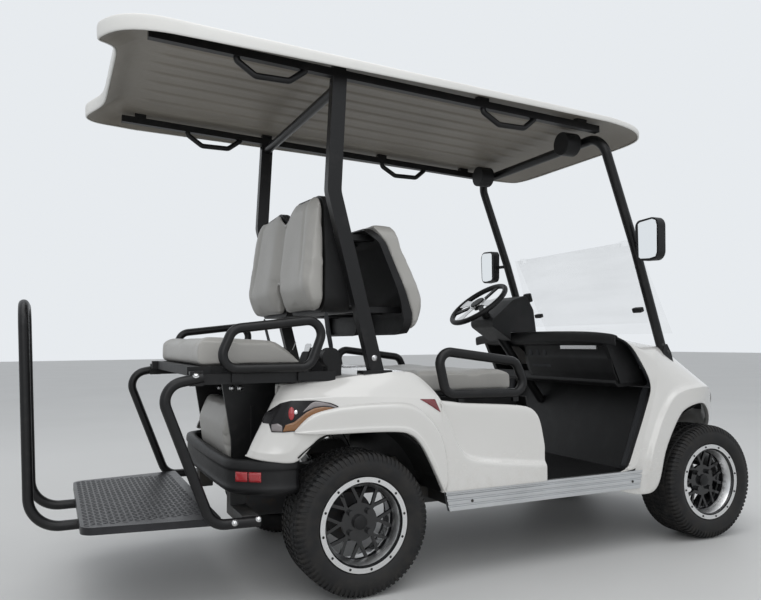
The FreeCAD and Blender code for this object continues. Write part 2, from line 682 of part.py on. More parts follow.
def front_back_cushion():
    seam = [(x + SEAT_GAP, z, radius) for x, z, radius in BACK_SEAM]
    face = [(298, 982, 40), (327, 1078, 80), (305, 1155, 200), (242, 1299, 0), (205, 1402, 30),
            (150, FRONT_BACK_TOP, 14)]
    return within(slab("side", seam + face, -SEAT_HALF, SEAT_HALF),
                  slab("front", lobes(FRONT_BACK_TOP, FRONT_BACK_BOTTOM, SEAT_HALF), -50, 400))


def rear_seat_frame():
    """Side rails with cross tubes, the sloping plates under them and the pivot pins."""
    outer_y = STEP_TUBE_Y - STEP_TUBE_R - SEAT_GAP
    inner_y = SIDE_RAIL_INNER
    rail = box(FLIP_X - 25, -82, inner_y, outer_y, SIDE_RAIL_BOTTOM, SIDE_RAIL_TOP)
    pin = rod((FLIP_X, FLIP_ARM_Y - 12, FLIP_Z), (FLIP_X, inner_y + 2, FLIP_Z), FLIP_PIN_R)
    plate = [(-460, SIDE_RAIL_BOTTOM + 20), (-135, SIDE_RAIL_BOTTOM + 20), (-250, 560),
             (-330, REAR_RAIL_BOTTOM + REAR_RAIL_HEIGHT), (-415, REAR_RAIL_BOTTOM + REAR_RAIL_HEIGHT), (-420, 560)]
    support = slab("side", plate, RAIL_Y - 18, RAIL_Y - 6)
    seat_z = REAR_CUSHION_BOTTOM - SEAT_GAP - REAR_PAN_THICK - SEAT_GAP
    cross = [box(x, x + 40, -inner_y - 2, inner_y + 2, SIDE_RAIL_BOTTOM + 4, seat_z) for x in (-260, -400)]
    carrier = box(CALF_X + SEAT_GAP, CALF_X + 10, 2 - RAIL_Y, RAIL_Y - 2, 480, 680)
    return joined([both(joined([rail, pin])), both(support), carrier] + cross)


def rear_seat_pan():
    """The tray under the rear cushion, with an arm and an eye at each pivot."""
    z1 = REAR_CUSHION_BOTTOM - SEAT_GAP
    tray = box(REAR_CUSHION_REAR - 7, REAR_CUSHION_FRONT - 2, -SHELL_HALF, SHELL_HALF,
               z1 - REAR_PAN_THICK, z1)
    inner = FLIP_ARM_Y - 12
    eye = rod((FLIP_X, inner, FLIP_Z), (FLIP_X, FLIP_ARM_Y, FLIP_Z), FLIP_PIN_R + 14)
    arm = box(FLIP_X - 20, FLIP_X + 60, inner, FLIP_ARM_Y, FLIP_Z, z1)
    link = box(FLIP_X - 20, FLIP_X + 60, SEAT_HALF - 10, FLIP_ARM_Y, z1 - REAR_PAN_THICK, z1)
    arms = joined([eye, arm, link])
    bore = rod((FLIP_X, inner - 5, FLIP_Z), (FLIP_X, FLIP_ARM_Y + 5, FLIP_Z), FLIP_PIN_R + SEAT_GAP)
    return less(joined([tray, both(arms)]), both(bore))


def rear_seat_cushion():
    rear, front = REAR_CUSHION_REAR, REAR_CUSHION_FRONT
    profile = [(rear, REAR_CUSHION_BOTTOM, 10), (rear + 3, REAR_CUSHION_TOP, 30),
               (front - 107, REAR_CUSHION_TOP - 21, 90), (front, REAR_CUSHION_BOTTOM, 6)]
    return slab("side", profile, -SEAT_HALF, SEAT_HALF)


def calf_pad():
    pad = [(CALF_X, 452, 12), (-420, 470, 20), (-440, 600, 60), (-400, 700, 30), (CALF_X, 700, 12)]
    return slab("side", pad, -255, 255)


def belt_retractors():
    """A belt reel in its housing at each side, behind and before the strut feet."""
    reels = []
    for y in (215, 395):
        reel = rod((-70, y, 862), (-70, y + 46, 862), 38)
        foot = box(-88, -30, y, y + 46, 740, 850)
        reels.append(both(joined([reel, foot])))
    return less(joined(reels), rear_body_solids()[0])


def loop_rail(corners, y, radius, bend):
    """A closed loop of tube in a side-view plane."""
    points = [(x, y, z, bend) for x, z in corners]
    wire = path(points, closed=True)
    edge = wire.Edges[0]
    start = edge.valueAt(edge.FirstParameter)
    ring = Part.Wire(Part.makeCircle(radius, start, edge.tangentAt(edge.FirstParameter)))
    return wire.makePipeShell([ring], True, False)


def hip_rails():
    """The hand loops at the front seat's ends, on a flat bar bolted to the body."""
    low = 706
    corners = [(330, low + 180), (700, low + 130), (757, low), (368, low + 7)]
    loop = loop_rail(corners, HIP_RAIL_Y, RAIL_TUBE_R, 45)
    y0, y1 = HIP_RAIL_Y - 8, HIP_RAIL_Y + 8
    posts = [box(x, x + 26, y0, y1, PANEL_TOP + SEAT_GAP, low - RAIL_TUBE_R + 6) for x in (420, 680)]
    return both(joined([loop] + posts))


def arm_rails():
    """The hand loops at the rear seat's ends, standing on the side rails."""
    low = SIDE_RAIL_TOP + SEAT_GAP + RAIL_TUBE_R - 2
    corners = [(-530, low), (-470, 970), (-120, 1008), (-188, low)]
    loop = loop_rail(corners, ARM_RAIL_Y, RAIL_TUBE_R - 2, 50)
    plates = [box(x, x + 40, STEP_TUBE_Y - STEP_TUBE_R, ARM_RAIL_Y - 8, SIDE_RAIL_BOTTOM + 6, low)
              for x in (-470, -230)]
    return both(joined([loop] + plates))


def rear_hoop():
    """Flat-sided rear struts on flanged feet, joined by a roof tube and two seat tubes."""
    bend_z = 1490
    half = STRUT_DEPTH / 2
    head_x = -61
    top = [(x, roof_z(x) - ROOF_RAIL_DROP - SEAT_GAP) for x in (head_x - half, head_x + half)]
    mid = back_tube_x(bend_z)
    foot_x = back_tube_x(DECK_Z)
    blade = [(foot_x - half, DECK_Z, 0), (mid - half, bend_z, 90), (*top[0], 0), (*top[1], 0),
             (mid + half, bend_z, 90), (foot_x + half, DECK_Z, 0)]
    y0 = STRUT_Y - STRUT_THICK / 2
    strut = slab("side", blade, y0, y0 + STRUT_THICK)
    foot = box(foot_x - 62, foot_x + 58, y0 - 20, y0 + STRUT_THICK + 4, DECK_Z, DECK_Z + 12)
    tube_z = top[0][1] - 32
    tubes = [rod((head_x, -y0 - 2, tube_z), (head_x, y0 + 2, tube_z), 20)]
    floor = [(x - PAN_WALL - 2 * SEAT_GAP, z, radius) for x, z, radius in BACK_SEAM]
    reach = slab("side", [(-150, BACK_SEAM[-1][1], 0), (-150, BACK_SEAM[0][1], 0)] + floor, 0, SEAT_HALF)
    for z in SEAT_TUBES:
        x = back_tube_x(z)
        tubes.append(rod((x, -y0 - 2, z), (x, y0 + 2, z), SEAT_TUBE_R))
        for y in (150, 330):
            tubes.append(both(within(box(x, BACK_SEAM[3][0], y, y + 40, z - 12, z + 12), reach)))
    return joined([both(joined([strut, foot]))] + tubes)


def front_tube(radius):
    """Both front struts and the beam between them, as one bent tube."""
    y = FRONT_STRUT_Y
    right = [(1575, y, 815, 0), (1404, y, 1359, 500), (BEAM_X, y, BEAM_Z, 80)]
    left = [(x, -y, z, r) for x, y, z, r in reversed(right)]
    return tube(right + left, radius)


def front_hoop():
    """Round front struts leaning back from flared feet to the beam under the roof."""
    hoop = front_tube(FRONT_STRUT_R)
    foot = slab("side", [(1530, 800), (1612, 778), (1590, 860), (1566, 900), (1545, 890)],
                FRONT_STRUT_Y - 24, FRONT_STRUT_Y + 24)
    outer, inner = front_cowl_solids()
    return less(joined([hoop, both(foot)]), outer, inner)


ROOF_SIDE = [(1476, 400, 120), (1410, 555, 120), (1180, ROOF_HALF, 300), (-700, ROOF_HALF, 300),
             (-880, 548, 60), (-922, 470, 0), (-916, 430, 0), (-848, 320, 90)]
OTHER_SIDE = [(x, -y, radius) for x, y, radius in reversed(ROOF_SIDE)]
ROOF_PLAN = [(1488, 0, 0)] + ROOF_SIDE + [(-845, 0, 0)] + OTHER_SIDE


def crowned(drop, depth):
    """A slab under the roof's crowned top surface, running down forward with the roof's fall."""
    x0 = -950
    length = 2500
    edge = roof_z(x0) - drop
    wide = ROOF_HALF + 20
    low_left = V(x0, -wide, edge - depth)
    high_left = V(x0, -wide, edge)
    high_right = V(x0, wide, edge)
    low_right = V(x0, wide, edge - depth)
    arc = Part.Arc(high_left, V(x0, 0, edge + ROOF_CROWN), high_right).toShape()
    sides = [Part.makeLine(low_left, high_left), arc, Part.makeLine(high_right, low_right),
             Part.makeLine(low_right, low_left)]
    return Part.Face(Part.Wire(sides)).extrude(V(length, 0, -length * ROOF_FALL))


def roof_plan(inset):
    """The roof's plan, inset from its edge, as a tall block through the roof."""
    wire = outline("plan", ROOF_PLAN, ROOF_EDGE_Z - 300)
    if inset:
        wire = wire.makeOffset2D(-inset)
    return Part.Face(wire).extrude(V(0, 0, 500))


def roof_shell():
    """A crowned panel with a deep rolled rim, hollow and ribbed below."""
    panel = within(crowned(0, ROOF_RIM), roof_plan(0))
    hollow = within(crowned(ROOF_SKIN, 2 * ROOF_RIM), roof_plan(ROOF_RIM_WIDTH))
    ribs = []
    pitch = 2 * 430 / (ROOF_RIBS - 1)
    for i in range(ROOF_RIBS):
        y = -430 + i * pitch
        ribs.append(box(-950, 1550, y - 14, y + 14, ROOF_EDGE_Z - 300, ROOF_EDGE_Z + 200))
    rib_field = within(crowned(ROOF_SKIN - 2, 8), roof_plan(ROOF_RIM_WIDTH + 40))
    return joined([less(panel, hollow), within(Part.makeCompound(ribs), rib_field)])


def sloped_bar(x0, x1, y0, y1, drop, height):
    """A bar below the roof's edge line, following its fall."""
    points = [(x, roof_z(x) - drop + h) for x, h in ((x0, 0), (x1, 0), (x1, height), (x0, height))]
    return slab("side", points, y0, y1)


def crown_at(y):
    """Rise of the roof's top surface over its edge line at a place across."""
    return ROOF_CROWN * (1 - (y / (ROOF_HALF + 20)) ** 2)


def roof_rails():
    """Rails under the roof's long edges, with packing blocks and two hand loops each."""
    y0 = ROOF_RAIL_Y - ROOF_RAIL_SIZE / 2
    y1 = ROOF_RAIL_Y + ROOF_RAIL_SIZE / 2
    rail_end = BEAM_X - FRONT_STRUT_R - SEAT_GAP
    rail = sloped_bar(-759, rail_end, y0, y1, ROOF_RAIL_DROP, ROOF_RAIL_SIZE)
    pieces = [rail]
    block_drop = ROOF_RAIL_DROP - ROOF_RAIL_SIZE + 2
    for x in (-700, -86, 560, 1080):
        tall = block_drop + crown_at(y1) - ROOF_SKIN - SEAT_GAP
        pieces.append(sloped_bar(x, x + 50, y0, y1, block_drop, tall))
    loops = ((-454, -385, -257, -195, 1887), (589, 667, 796, 850, 1836))
    for a, b, c, d, low in loops:
        high = roof_z((a + d) / 2) - ROOF_RAIL_DROP + 8
        line = [(a, ROOF_RAIL_Y, high + 12, 0), (a, ROOF_RAIL_Y, high - 14, 17), (b, ROOF_RAIL_Y, low, 27),
                (c, ROOF_RAIL_Y, low, 27), (d, ROOF_RAIL_Y, high - 14, 17), (d, ROOF_RAIL_Y, high + 6, 0)]
        pieces.append(tube(line, HANDLE_R))
    return both(joined(pieces))


def speakers():
    """A round pod each side, held behind the roof beam."""
    end = BEAM_X - FRONT_STRUT_R - SEAT_GAP
    z = BEAM_Z - 9
    pod = rod((end - 92, 360, z), (end - 14, 360, z), 54)
    neck = rod((end - 20, 360, z), (end, 360, z), 22)
    return both(joined([pod, neck]))


def mirrors():
    """A mirror head on a short arm from each front strut."""
    head = [(575, 1275, 30), (700, 1268, 40), (706, 1462, 40), (568, 1455, 30)]
    case = slab("front", head, 1350, 1392)
    arm = rod((1404, FRONT_STRUT_Y, 1359), (1375, 600, 1359), 9)
    return less(both(joined([case, arm])), front_tube(FRONT_STRUT_R + SEAT_GAP))


def glass_x(z):
    """Station of the standing windscreen's rear face at a height."""
    return 1552 - (z - 1000) * 0.2935


def windshield():
    """Two clear sheets: the lower one standing, the upper one folded down in front of it."""
    thick = 5
    low, high = 1001, 1388
    standing = [(glass_x(low), low), (glass_x(high), high), (glass_x(high) + thick, high),
                (glass_x(low) + thick, low)]
    hinge = glass_x(high) + thick + 6
    folded = [(hinge, high), (hinge + thick, high), (1662 + thick, 950), (1662, 950)]
    sheets = [slab("side", standing, -478, 478), slab("side", folded, -470, 470)]
    clips = []
    for y in (-420, 380):
        clips.append(box(glass_x(high) - 4, hinge + 9, y, y + 40, high - 22, high + 6))
    holders = []
    for z in (1062, 1170):
        holders.append(box(glass_x(z) - 60, glass_x(z) + 2, 462, 498, z - 14, z + 14))
    behind = [box(1000, glass_x(z) - 30, -600, 600, z - 50, z + 50) for z in (1062, 1170)]
    holder = less(joined([both(piece) for piece in holders]), front_tube(FRONT_STRUT_R + SEAT_GAP), *behind)
    return joined(sheets + clips + [holder])


def rear_axle():
    """Axle tube, gearbox and the motor as one plain block, with a brake drum at each end."""
    pieces = [rod((0, -WHEEL_CENTRE_Y + 105, TYRE_R), (0, WHEEL_CENTRE_Y - 105, TYRE_R), AXLE_R)]
    pieces.append(rod((0, -65, TYRE_R), (0, 65, TYRE_R), 100))
    pieces.append(rod((-345, 0, TYRE_R + 25), (-70, 0, TYRE_R + 25), 88))
    end = HUB_INNER_Y - RUN_GAP
    drum = rod((0, 372, TYRE_R), (0, 440, TYRE_R), 92)
    stub = rod((0, 436, TYRE_R), (0, end, TYRE_R), 30)
    return joined(pieces + [both(joined([drum, stub]))])


def battery_pack():
    return box(392, 695, -RAIL_Y, RAIL_Y, FRAME_TOP, 600)


def springs():
    """Leaf packs over the rear axle and coil units over the front one."""
    top = AXLE_R + TYRE_R + SEAT_GAP + LEAF_THICK
    upper = [(REAR_RAIL_END + 5, REAR_RAIL_BOTTOM - SEAT_GAP), (-180, top + 12), (-60, top), (60, top),
             (180, top - 2), (330 - SEAT_GAP, 305)]
    lower = [(x, z - LEAF_THICK) for x, z in reversed(upper)]
    leaf = slab("side", upper + lower, LEAF_Y - LEAF_WIDTH / 2, LEAF_Y + LEAF_WIDTH / 2)
    bottom = TYRE_R - BEAM_DROP + BEAM_R + SEAT_GAP
    coil = rod((FRONT_AXLE, COIL_Y, bottom), (FRONT_AXLE, COIL_Y, COIL_TOP - SEAT_GAP), COIL_R)
    return joined([both(leaf), both(coil)])


def front_axle():
    """A beam with a yoke at each end, and the steering rack's housing."""
    beam_z = TYRE_R - BEAM_DROP
    pieces = [rod((FRONT_AXLE, 50 - KINGPIN_Y, beam_z), (FRONT_AXLE, KINGPIN_Y - 50, beam_z), BEAM_R)]
    ear = [(-28, -58), (28, -58), (28, 0), (14, 14), (-14, 14), (-28, 0)]
    for z in (TYRE_R - 58, TYRE_R + 38):
        pieces.append(both(slab("plan", [(FRONT_AXLE + x, KINGPIN_Y + y) for x, y in ear], z, z + 20)))
    web = box(FRONT_AXLE - 28, FRONT_AXLE + 28, KINGPIN_Y - 62, KINGPIN_Y - 44, TYRE_R - 58, TYRE_R + 58)
    pieces.append(both(web))
    pins = rod((FRONT_AXLE, KINGPIN_Y, 100), (FRONT_AXLE, KINGPIN_Y, 400), KINGPIN_R + SEAT_GAP)
    rack_x = FRONT_AXLE + TIE_ROD_X
    rack_z = TYRE_R - TIE_ROD_DROP
    rack = rod((rack_x, -110, rack_z), (rack_x, 110, rack_z), 22)
    bore = rod((rack_x, -120, rack_z), (rack_x, 120, rack_z), TIE_ROD_R + SEAT_GAP)
    hanger = box(rack_x, FRONT_AXLE, -60, 60, rack_z - 8, rack_z + 12)
    return less(joined(pieces + [rack, hanger]), both(pins), bore)


def tie_rod():
    """The rack bar through its housing, with an eye below each steering arm."""
    x = FRONT_AXLE + TIE_ROD_X
    z = TYRE_R - TIE_ROD_DROP
    reach = KINGPIN_Y - 12
    ends = both(rod((x, reach, z - 12), (x, reach, z + 8), 14))
    return joined([rod((x, -reach, z), (x, reach, z), TIE_ROD_R), ends])


def arch_liners():
    """Black inner arches over each wheel: a curved sheet inside the fender, hung from it by a bracket."""
    sheets = []
    for station, start, end, inner in ((0, 22, 134, rear_body_solids()[1]),
                                       (FRONT_AXLE, 62, 172, front_cowl_solids()[1])):
        ring = rod((station, 350, TYRE_R), (station, FLARE_HALF - 25, TYRE_R), LINER_R + LINER_WALL)
        bore = rod((station, 340, TYRE_R), (station, FLARE_HALF, TYRE_R), LINER_R)
        reach = 2 * LINER_R
        a, b = math.radians(start), math.radians(end)
        wedge = [(station, TYRE_R), (station + reach * math.cos(a), TYRE_R + reach * math.sin(a)),
                 (station, TYRE_R + 2 * reach), (station + reach * math.cos(b), TYRE_R + reach * math.sin(b))]
        sheet = within(less(ring, bore), slab("side", wedge, 340, FLARE_HALF))
        bracket = within(box(station - 20, station + 20, 440, 520, TYRE_R + LINER_R + 1, DECK_Z), inner)
        sheets.append(both(joined([within(sheet, inner), bracket])))
    return joined(sheets)


def knuckle(side):
    """The upright on its kingpin, its spindle, and the arm back to the tie rod."""
    low = TYRE_R - 38 + RUN_GAP
    high = TYRE_R + 38 - RUN_GAP
    upright = box(FRONT_AXLE - 24, FRONT_AXLE + 24, KINGPIN_Y - 22, KINGPIN_Y + 24, low, high)
    pin = rod((FRONT_AXLE, KINGPIN_Y, TYRE_R - 62), (FRONT_AXLE, KINGPIN_Y, TYRE_R + 66), KINGPIN_R)
    head = rod((FRONT_AXLE, KINGPIN_Y, TYRE_R + 58 + RUN_GAP), (FRONT_AXLE, KINGPIN_Y, TYRE_R + 66), 16)
    spindle = rod((FRONT_AXLE, KINGPIN_Y + 20, TYRE_R), (FRONT_AXLE, HUB_INNER_Y - RUN_GAP, TYRE_R), SPINDLE_R)
    plate = rod((FRONT_AXLE, KINGPIN_Y + 24, TYRE_R), (FRONT_AXLE, KINGPIN_Y + 40, TYRE_R), 60)
    arm_z = TYRE_R - 36
    arm = slab("plan", [(FRONT_AXLE - 20, KINGPIN_Y - 20), (FRONT_AXLE + TIE_ROD_X - 14, KINGPIN_Y - 26, 8),
                        (FRONT_AXLE + TIE_ROD_X - 14, KINGPIN_Y + 2, 8), (FRONT_AXLE - 20, KINGPIN_Y + 20)],
               arm_z, arm_z + 14)
    whole = joined([upright, pin, head, spindle, plate, arm])
    return whole if side > 0 else mirrored(whole)


def tyre(x, side):
    """A revolved carcass with rounded shoulders and grooves round the tread."""
    half = TYRE_WIDTH / 2
    bead = RIM_LIP_R + 1
    half_bead = RIM_WIDTH / 2 - 6
    section = [(-half_bead, bead, 0), (-half, bead + 26, 20), (-half, TYRE_R - 34, 22),
               (-half + 14, TYRE_R, 16)]
    pitch = (TYRE_WIDTH - 60) / (TREAD_GROOVES - 1)
    for i in range(TREAD_GROOVES):
        y = -half + 30 + i * pitch
        section += [(y - GROOVE_WIDTH / 2, TYRE_R, 0), (y - GROOVE_WIDTH / 2, TYRE_R - GROOVE_DEPTH, 0),
                    (y + GROOVE_WIDTH / 2, TYRE_R - GROOVE_DEPTH, 0), (y + GROOVE_WIDTH / 2, TYRE_R, 0)]
    section += [(half - 14, TYRE_R, 16), (half, TYRE_R - 34, 22), (half, bead + 26, 20), (half_bead, bead, 0)]
    face = Part.Face(outline("front", section, 0))
    ring = face.revolve(V(0, 0, 0), V(0, 1, 0), 360)
    ring.translate(V(x, side * WHEEL_CENTRE_Y, TYRE_R))
    return ring


def rim_section():
    """The rim's wall from the machined lip, down the deep dish and along the barrel. Points (y, radius)."""
    outer = RIM_WIDTH / 2
    lip_in = RIM_LIP_R - RIM_LIP_RING
    disc_y = outer - DISC_DEPTH
    bead = RIM_LIP_R - 8
    return [(outer, RIM_LIP_R, 0), (outer - 6, RIM_LIP_R, 0), (outer - 10, bead, 0), (20, bead - 12, 0),
            (0, bead - 16, 0), (-outer + 12, bead - 4, 0), (-outer, RIM_LIP_R, 0), (-outer, RIM_LIP_R - 8, 0),
            (0, bead - 16 - RIM_WALL, 0), (disc_y - DISC_THICK, DISC_R, 0), (disc_y, DISC_R, 0),
            (disc_y + 30, DISC_R + 12, 0), (outer - 4, lip_in, 0), (outer, lip_in, 0)]


def rim(x, side):
    """The barrel, a ring of forked spokes, the hub with its cap, and the lug nuts."""
    wall = Part.Face(outline("front", rim_section(), 0)).revolve(V(0, 0, 0), V(0, 1, 0), 360)
    disc_y = RIM_WIDTH / 2 - DISC_DEPTH
    back = disc_y - DISC_THICK
    pieces = [wall, rod((0, back - HUB_LENGTH, 0), (0, disc_y - 2, 0), HUB_R)]
    pieces.append(rod((0, back, 0), (0, disc_y, 0), HUB_R + 22))
    pieces.append(rod((0, disc_y - 4, 0), (0, disc_y + 14, 0), CAP_R))
    for i in range(SPOKES):
        stem = box(HUB_R, SPOKE_FORK_R + 4, back, disc_y, -SPOKE_WIDTH / 2 - 2, SPOKE_WIDTH / 2 + 2)
        fork = []
        for lean in (-1, 1):
            tip = math.radians(lean * SPOKE_SPREAD)
            tip_a, tip_r = (DISC_R + 3) * math.cos(tip), (DISC_R + 3) * math.sin(tip)
            fork.append([(SPOKE_FORK_R - 4, lean * 3 - SPOKE_WIDTH / 2),
                         (SPOKE_FORK_R - 4, lean * 3 + SPOKE_WIDTH / 2),
                         (tip_a, tip_r + SPOKE_WIDTH / 2), (tip_a, tip_r - SPOKE_WIDTH / 2)])
        arms = [slab("side", points, back + 2, disc_y - 1) for points in fork]
        spoke = joined([stem] + arms)
        pieces.append(spoke.rotate(V(0, 0, 0), V(0, 1, 0), i * 360 / SPOKES))
    for i in range(LUGS):
        angle = math.radians(45 + i * 360 / LUGS)
        cx, cz = LUG_CIRCLE_R * math.cos(angle), LUG_CIRCLE_R * math.sin(angle)
        pieces.append(rod((cx, disc_y - 2, cz), (cx, disc_y + 16, cz), LUG_R))
    wheel = joined(pieces)
    wheel = wheel if side > 0 else mirrored(wheel)
    wheel.translate(V(x, side * WHEEL_CENTRE_Y, TYRE_R))
    return wheel


def platform():
    """A footrest plate with turned-down edges, tapering to the rear."""
    plan = [(-944, -440, 50), (-500, -506, 10), (-500, 506, 10), (-944, 440, 50)]
    solid = slab("plan", plan, PLATE_TOP - PLATE_DEPTH, PLATE_TOP)
    inner = [(-940, -436, 46), (-504, -502, 8), (-504, 502, 8), (-940, 436, 46)]
    hollow = slab("plan", inner, PLATE_TOP - PLATE_DEPTH - 1, PLATE_TOP - 4)
    crosses = [box(x, x + 40, -400, 400, PLATE_TOP - PLATE_DEPTH, PLATE_TOP - 4) for x in (-900, -760, -560)]
    tabs = both(box(-530, -500, 490, STEP_TUBE_Y - STEP_TUBE_R - SEAT_GAP,
                    PLATE_TOP - PLATE_DEPTH, PLATE_TOP - 4))
    return joined([less(solid, hollow), tabs] + crosses)


def step_tubes():
    """The bent side tubes that hang the footrest from the seat's pivots and tie it to the chassis."""
    y = STEP_TUBE_Y
    line = [(FLIP_X + 24, y, 805, 0), (-718, y, 777, 65), (-538, y, 306, 70), (-372, y, 303, 0)]
    side = tube(line, STEP_TUBE_R)
    ear = box(FLIP_X - 20, FLIP_X + 25, y - STEP_TUBE_R, y + 6, 776, 826)
    return both(joined([side, ear]))


def grab_bar():
    """An inverted hoop behind the footrest, its feet running under the plate."""
    z = PLATE_TOP - PLATE_DEPTH - SEAT_GAP - GRAB_R
    rear = -REAR_OVERHANG + GRAB_R
    half = [(-540, GRAB_Y, z, 0), (rear + 32, GRAB_Y, z, 110), (rear, GRAB_Y, GRAB_TOP - GRAB_R, 80)]
    other = [(px, -py, pz, r) for px, py, pz, r in reversed(half)]
    return tube(half + other, GRAB_R)


os.makedirs("parts", exist_ok=True)
NODES = {
    "chassis_frame": chassis_frame, "floor_pan": floor_pan, "rear_body": rear_body, "front_cowl": front_cowl,
    "dashboard": dashboard, "steering_column": steering_column, "rocker_strips": rocker_strips,
    "rear_bumper": rear_bumper, "front_bumper": front_bumper, "tail_lamps": tail_lamps, "headlamps": headlamps,
    "front_seat_base": front_seat_base, "front_seat_board": front_seat_board,
    "front_seat_cushion": front_seat_cushion, "front_back_cushion": front_back_cushion,
    "front_back_shell": front_back_shell, "rear_back_cushion": rear_back_cushion,
    "rear_back_shell": rear_back_shell, "rear_seat_frame": rear_seat_frame, "rear_seat_pan": rear_seat_pan,
    "rear_seat_cushion": rear_seat_cushion, "calf_pad": calf_pad, "belt_retractors": belt_retractors,
    "hip_rails": hip_rails, "arm_rails": arm_rails, "rear_hoop": rear_hoop, "front_hoop": front_hoop,
    "roof_shell": roof_shell, "roof_rails": roof_rails, "speakers": speakers, "mirrors": mirrors,
    "windshield": windshield, "rear_axle": rear_axle, "battery_pack": battery_pack, "springs": springs,
    "front_axle": front_axle, "tie_rod": tie_rod, "arch_liners": arch_liners, "platform": platform,
    "step_tubes": step_tubes, "grab_bar": grab_bar, "steering_wheel": steering_wheel,
}
for node_name, make in NODES.items():
    save(node_name, make())
for side_name, sign in (("left", 1), ("right", -1)):
    save("side_panel_" + side_name, side_panel(sign))
    save("knuckle_" + side_name, knuckle(sign))
    for end_name, station in (("front", FRONT_AXLE), ("rear", 0)):
        save("tyre_" + end_name + "_" + side_name, tyre(station, sign))
        save("rim_" + end_name + "_" + side_name, rim(station, sign))
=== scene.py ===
import json
import math

import bmesh
import bpy
from mathutils import Euler, Matrix, Vector
from mathutils.bvhtree import BVHTree

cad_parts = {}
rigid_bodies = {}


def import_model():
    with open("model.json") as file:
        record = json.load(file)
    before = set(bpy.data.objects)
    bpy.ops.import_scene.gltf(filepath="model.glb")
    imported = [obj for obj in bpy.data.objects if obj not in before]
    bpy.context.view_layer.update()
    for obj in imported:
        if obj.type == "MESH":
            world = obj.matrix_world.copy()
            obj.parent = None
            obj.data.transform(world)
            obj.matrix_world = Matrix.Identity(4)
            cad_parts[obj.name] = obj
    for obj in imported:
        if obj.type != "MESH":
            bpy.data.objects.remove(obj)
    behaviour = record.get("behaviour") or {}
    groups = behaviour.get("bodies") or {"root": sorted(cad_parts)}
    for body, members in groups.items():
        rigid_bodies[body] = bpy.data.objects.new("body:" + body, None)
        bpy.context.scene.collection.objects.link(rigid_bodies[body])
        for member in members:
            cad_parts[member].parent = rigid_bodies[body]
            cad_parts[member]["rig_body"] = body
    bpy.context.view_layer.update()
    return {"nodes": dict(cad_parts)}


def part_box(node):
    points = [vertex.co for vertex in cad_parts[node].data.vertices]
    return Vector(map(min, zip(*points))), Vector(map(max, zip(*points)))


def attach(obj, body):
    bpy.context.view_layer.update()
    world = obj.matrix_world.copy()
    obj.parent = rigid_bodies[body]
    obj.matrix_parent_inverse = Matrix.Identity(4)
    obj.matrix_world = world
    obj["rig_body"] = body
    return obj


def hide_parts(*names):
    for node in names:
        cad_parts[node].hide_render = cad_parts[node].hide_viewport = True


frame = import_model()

HANDS = (1, -1)  # left, right


def middle(node):
    low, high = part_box(node)
    return (low + high) / 2


REAR_AXLE = middle("rim_rear_left").x
AXLE_Z = middle("rim_rear_left").z


def at(x, y, z):
    """A place in millimetres from the rear axle, the centre plane and the ground, in the model's metres."""
    return Vector((REAR_AXLE + x / 1000, y / 1000, z / 1000))


def handed(name, hand):
    """A piece's name with its side."""
    return name + ("_left" if hand > 0 else "_right")


# Finishes

class Value:
    """A socket in a material; arithmetic on it adds Math nodes."""

    def __init__(self, finish, socket):
        self.finish = finish
        self.socket = socket

    def work(self, operation, first, second):
        return self.finish.add("ShaderNodeMath", {"operation": operation}, {0: first, 1: second})

    def __add__(self, other):
        return self.work("ADD", self, other)

    def __sub__(self, other):
        return self.work("SUBTRACT", self, other)

    def __rsub__(self, other):
        return self.work("SUBTRACT", other, self)

    def __mul__(self, other):
        return self.work("MULTIPLY", self, other)

    def __pow__(self, other):
        return self.work("POWER", self, other)

    def __gt__(self, other):
        return self.work("GREATER_THAN", self, other)

    def __lt__(self, other):
        return self.work("LESS_THAN", self, other)

    __radd__ = __add__
    __rmul__ = __mul__


